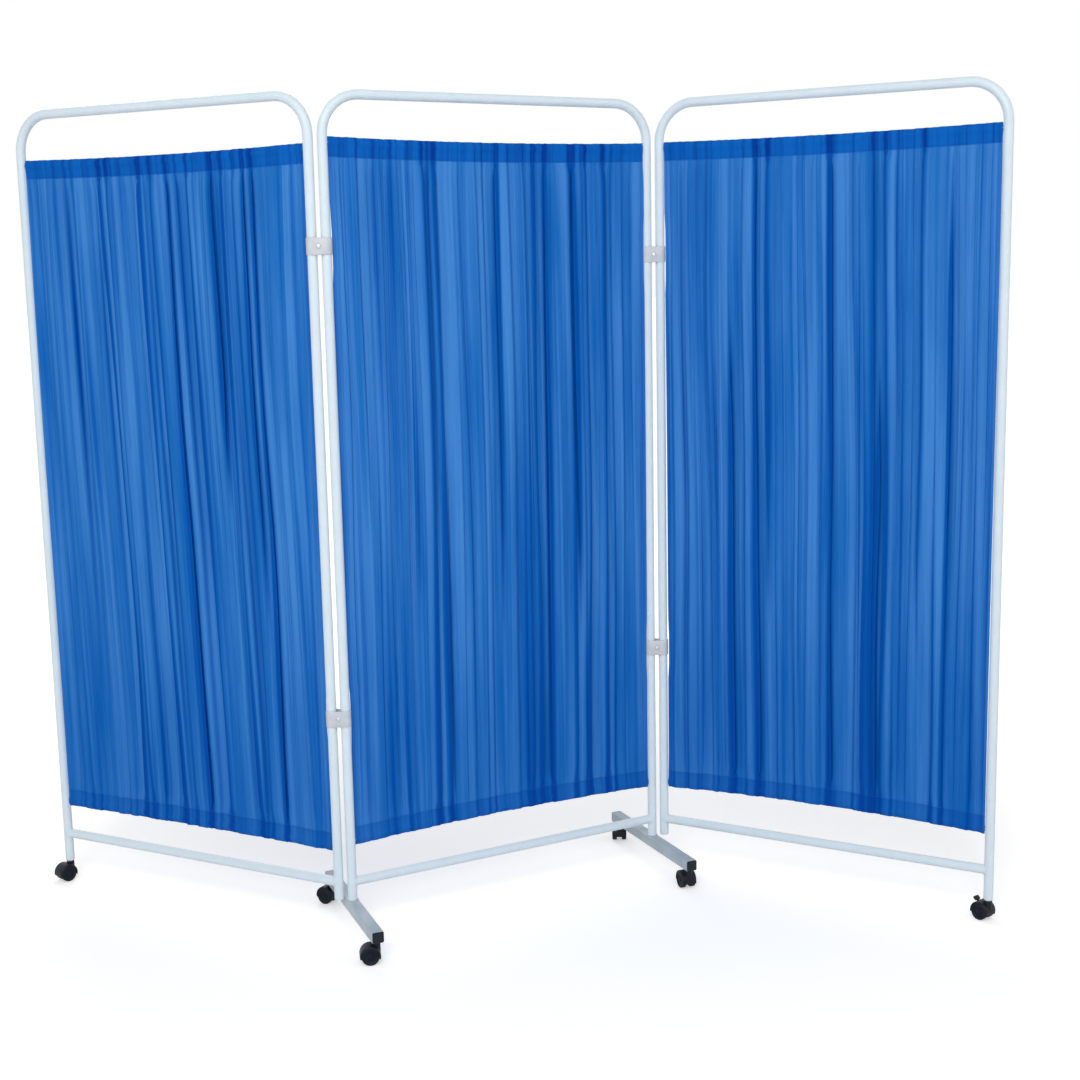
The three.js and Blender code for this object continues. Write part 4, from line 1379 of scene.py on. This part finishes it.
def pedalMesh(name, trail):
    s, c = pedalSettings, castorSettings
    root = c["hoodOuter"] + 0.1 * mm + s["gap"] - s["pivotRadius"]
    half = s["ribDepth"] / 2
    far = root + s["thickness"]
    rib = arcPoints((0, 0), half, 90, 270, 10) + [(far, -half), (far, half)]
    ribMesh = bevelled(name, prism(name, rib, -s["ribWidth"] / 2, s["ribWidth"] / 2), 0.5 * mm, 2, 40)
    outline = [(x + s["length"] / 2, y)
               for x, y in roundedRectangle(s["length"], s["width"], s["corner"])]
    plate = prism(name, outline, -s["thickness"] / 2, s["thickness"] / 2, "xyz")
    plate = bevelled(name, plate, 0.7 * mm, 3, 50)
    line = [(2.0 * mm, 0, s["thickness"] / 2), (s["length"] - 1.2 * mm, 0, s["thickness"] / 2)]
    grips = ribRow.build(name, polyline("grips", line), Pitch=s["gripPitch"], RibLength=s["gripWidth"],
                         RibWidth=s["width"] - s["gripInset"], RibHeight=s["gripWidth"],
                         Material=finishes["castor_body"])
    blade = joined(name, plate, grips)
    lean = math.radians(s["lean"])
    shift = Vector((root + s["thickness"] * math.sin(lean) / 2, 0, 0))
    blade.transform(Matrix.Translation(shift) @ Matrix.Rotation(lean, 4, "Y"))
    reach, r = s["pinHalf"], s["pinRadius"]
    pin = turnedMesh(name, [(0, -reach), (r, -reach), (r, reach), (0, reach)], 16)
    mesh = joined(name, ribMesh, blade, rotated(pin, 90))
    angle = math.radians(s["angle"])
    out = s["pivotRadius"]
    pivot = (trail + out * math.cos(angle), 0, c["wheelRadius"] + out * math.sin(angle))
    mesh.transform(Matrix.Translation(pivot) @ Matrix.Rotation(-angle, 4, "Y"))
    return mesh


def makeCastor(corner, stands):
    place, trail = castorPlace(corner)
    name = f"{corner}_castor"
    addPiece(f"{name}_hood", castorBodyMesh(f"{name}_hood", trail), "castor_body", f"{corner}_castor",
             [f"{name}_body"], place, 35)
    addPiece(f"{name}_stem_pin", stemMesh(f"{name}_stem"), "plated_steel", stands, [f"{name}_stem"], place)
    for letter, way in (("a", 1), ("b", -1)):
        wheel = joined(f"{name}_tyre_{letter}", wheelMesh("wheel", way, trail), wheelRibs("ribs", way, trail))
        addPiece(f"{name}_tyre_{letter}", wheel, "castor_wheel", f"{corner}_wheel_{letter}",
                 [f"{name}_wheel_{letter}"], place, 50)
    axle = frame["nodes"][f"{name}_axle"]
    axle.data.materials.clear()
    axle.data.materials.append(finishes["plated_steel"])


def makePedal(corner):
    place, trail = castorPlace(corner)
    addPiece(f"{corner}_brake_pedal_blade", pedalMesh("pedal", trail), "castor_body", "brake_pedal",
             [f"{corner}_brake_pedal"], place, 40)


for sideName in ("left", "right"):
    makeCastor(f"{sideName}_outer", f"{sideName}_panel")
for sideName in ("left", "right"):
    for endName in ("front", "rear"):
        makeCastor(f"{sideName}_foot_{endName}", "center_panel")
makePedal("right_outer")
print("castors made")


# Studio

studio = {
    "ambient": 0.71,
    "dimSide": 0.22,            # strength of the room's light on the side away from the windows
    "windows": (-0.46, -0.89, 0.0),
    "floorHalf": 60.0,
    "floorDrop": 0.4 * mm,
    "floorColour": (0.88, 0.87, 0.855, 1),
    "nearLift": 0.41,
    "farLift": 0.72,
    "liftFrom": 1.1,            # the floor's own white grows from here, over this distance
    "liftOver": 1.9,
    "aimHeight": 0.9,
    "lamps": {
        "key": {"place": (-2.9, -4.0, 3.5), "size": 2.6, "power": 134.0},
        "fill": {"place": (3.2, -3.4, 2.6), "size": 3.0, "power": 16.0},
        "back": {"place": (0.6, 3.6, 3.2), "size": 2.6, "power": 50.0},
    },
}


def seenDirectly(graph):
    camera, glossy, through = (graph.node("ShaderNodeLightPath", output=f"Is {kind} Ray")
                               for kind in ("Camera", "Glossy", "Transmission"))
    return graph.maths("MAXIMUM", graph.maths("MAXIMUM", camera, glossy), through)


# Light of the room: most of it comes from one side, so that round tubes darken to their edges
def roomLight(graph):
    ray = graph.node("ShaderNodeTexCoord", output="Generated")
    facing = graph.node("ShaderNodeVectorMath", {"operation": "DOT_PRODUCT"},
                        {0: ray, 1: studio["windows"]}, "Value")
    share = (facing * 0.5 + 0.5).clamped() * (1 - studio["dimSide"]) + studio["dimSide"]
    return share * studio["ambient"]


def makeStudio():
    world = bpy.data.worlds.new("studio")
    bpy.context.scene.world = world
    world.use_nodes = True
    graph = Graph(world.node_tree)
    background = world.node_tree.nodes["Background"]
    background.inputs["Color"].default_value = (1, 1, 1, 1)
    direct = seenDirectly(graph)
    strength = direct + (1 - direct) * roomLight(graph)
    graph.tree.links.new(strength.socket, background.inputs["Strength"])

    half, down = studio["floorHalf"], -studio["floorDrop"]
    mesh = meshFrom("floor", [(-half, -half, down), (half, -half, down), (half, half, down),
                              (-half, half, down)], [(0, 1, 2, 3)])
    floor = placed("floor", mesh)
    material, shader, graph = newFinish("paleFloor", 0.9)
    shader.inputs["Base Color"].default_value = studio["floorColour"]
    shader.inputs["Emission Strength"].default_value = 1.0
    place = graph.objectPlace()
    away = graph.node("ShaderNodeVectorMath", {"operation": "LENGTH"}, {0: place}, "Value")
    outward = ((away - studio["liftFrom"]) / studio["liftOver"]).clamped()
    lift = outward * (studio["farLift"] - studio["nearLift"]) + studio["nearLift"]
    feed(graph, shader, Emission_Color=lift * seenDirectly(graph))
    mesh.materials.append(material)

    for name, lamp in studio["lamps"].items():
        data = bpy.data.lights.new(name, "AREA")
        data.shape = "DISK"
        data.size = lamp["size"]
        data.energy = lamp["power"]
        light = placed(name, data)
        place = Vector(lamp["place"])
        light.location = place
        light.rotation_mode = "QUATERNION"
        aim = Vector((0, 0, studio["aimHeight"]))
        light.rotation_quaternion = (aim - place).to_track_quat("-Z", "Y")


makeStudio()
bpy.context.scene.view_settings.view_transform = "Standard"
print("studio lit")
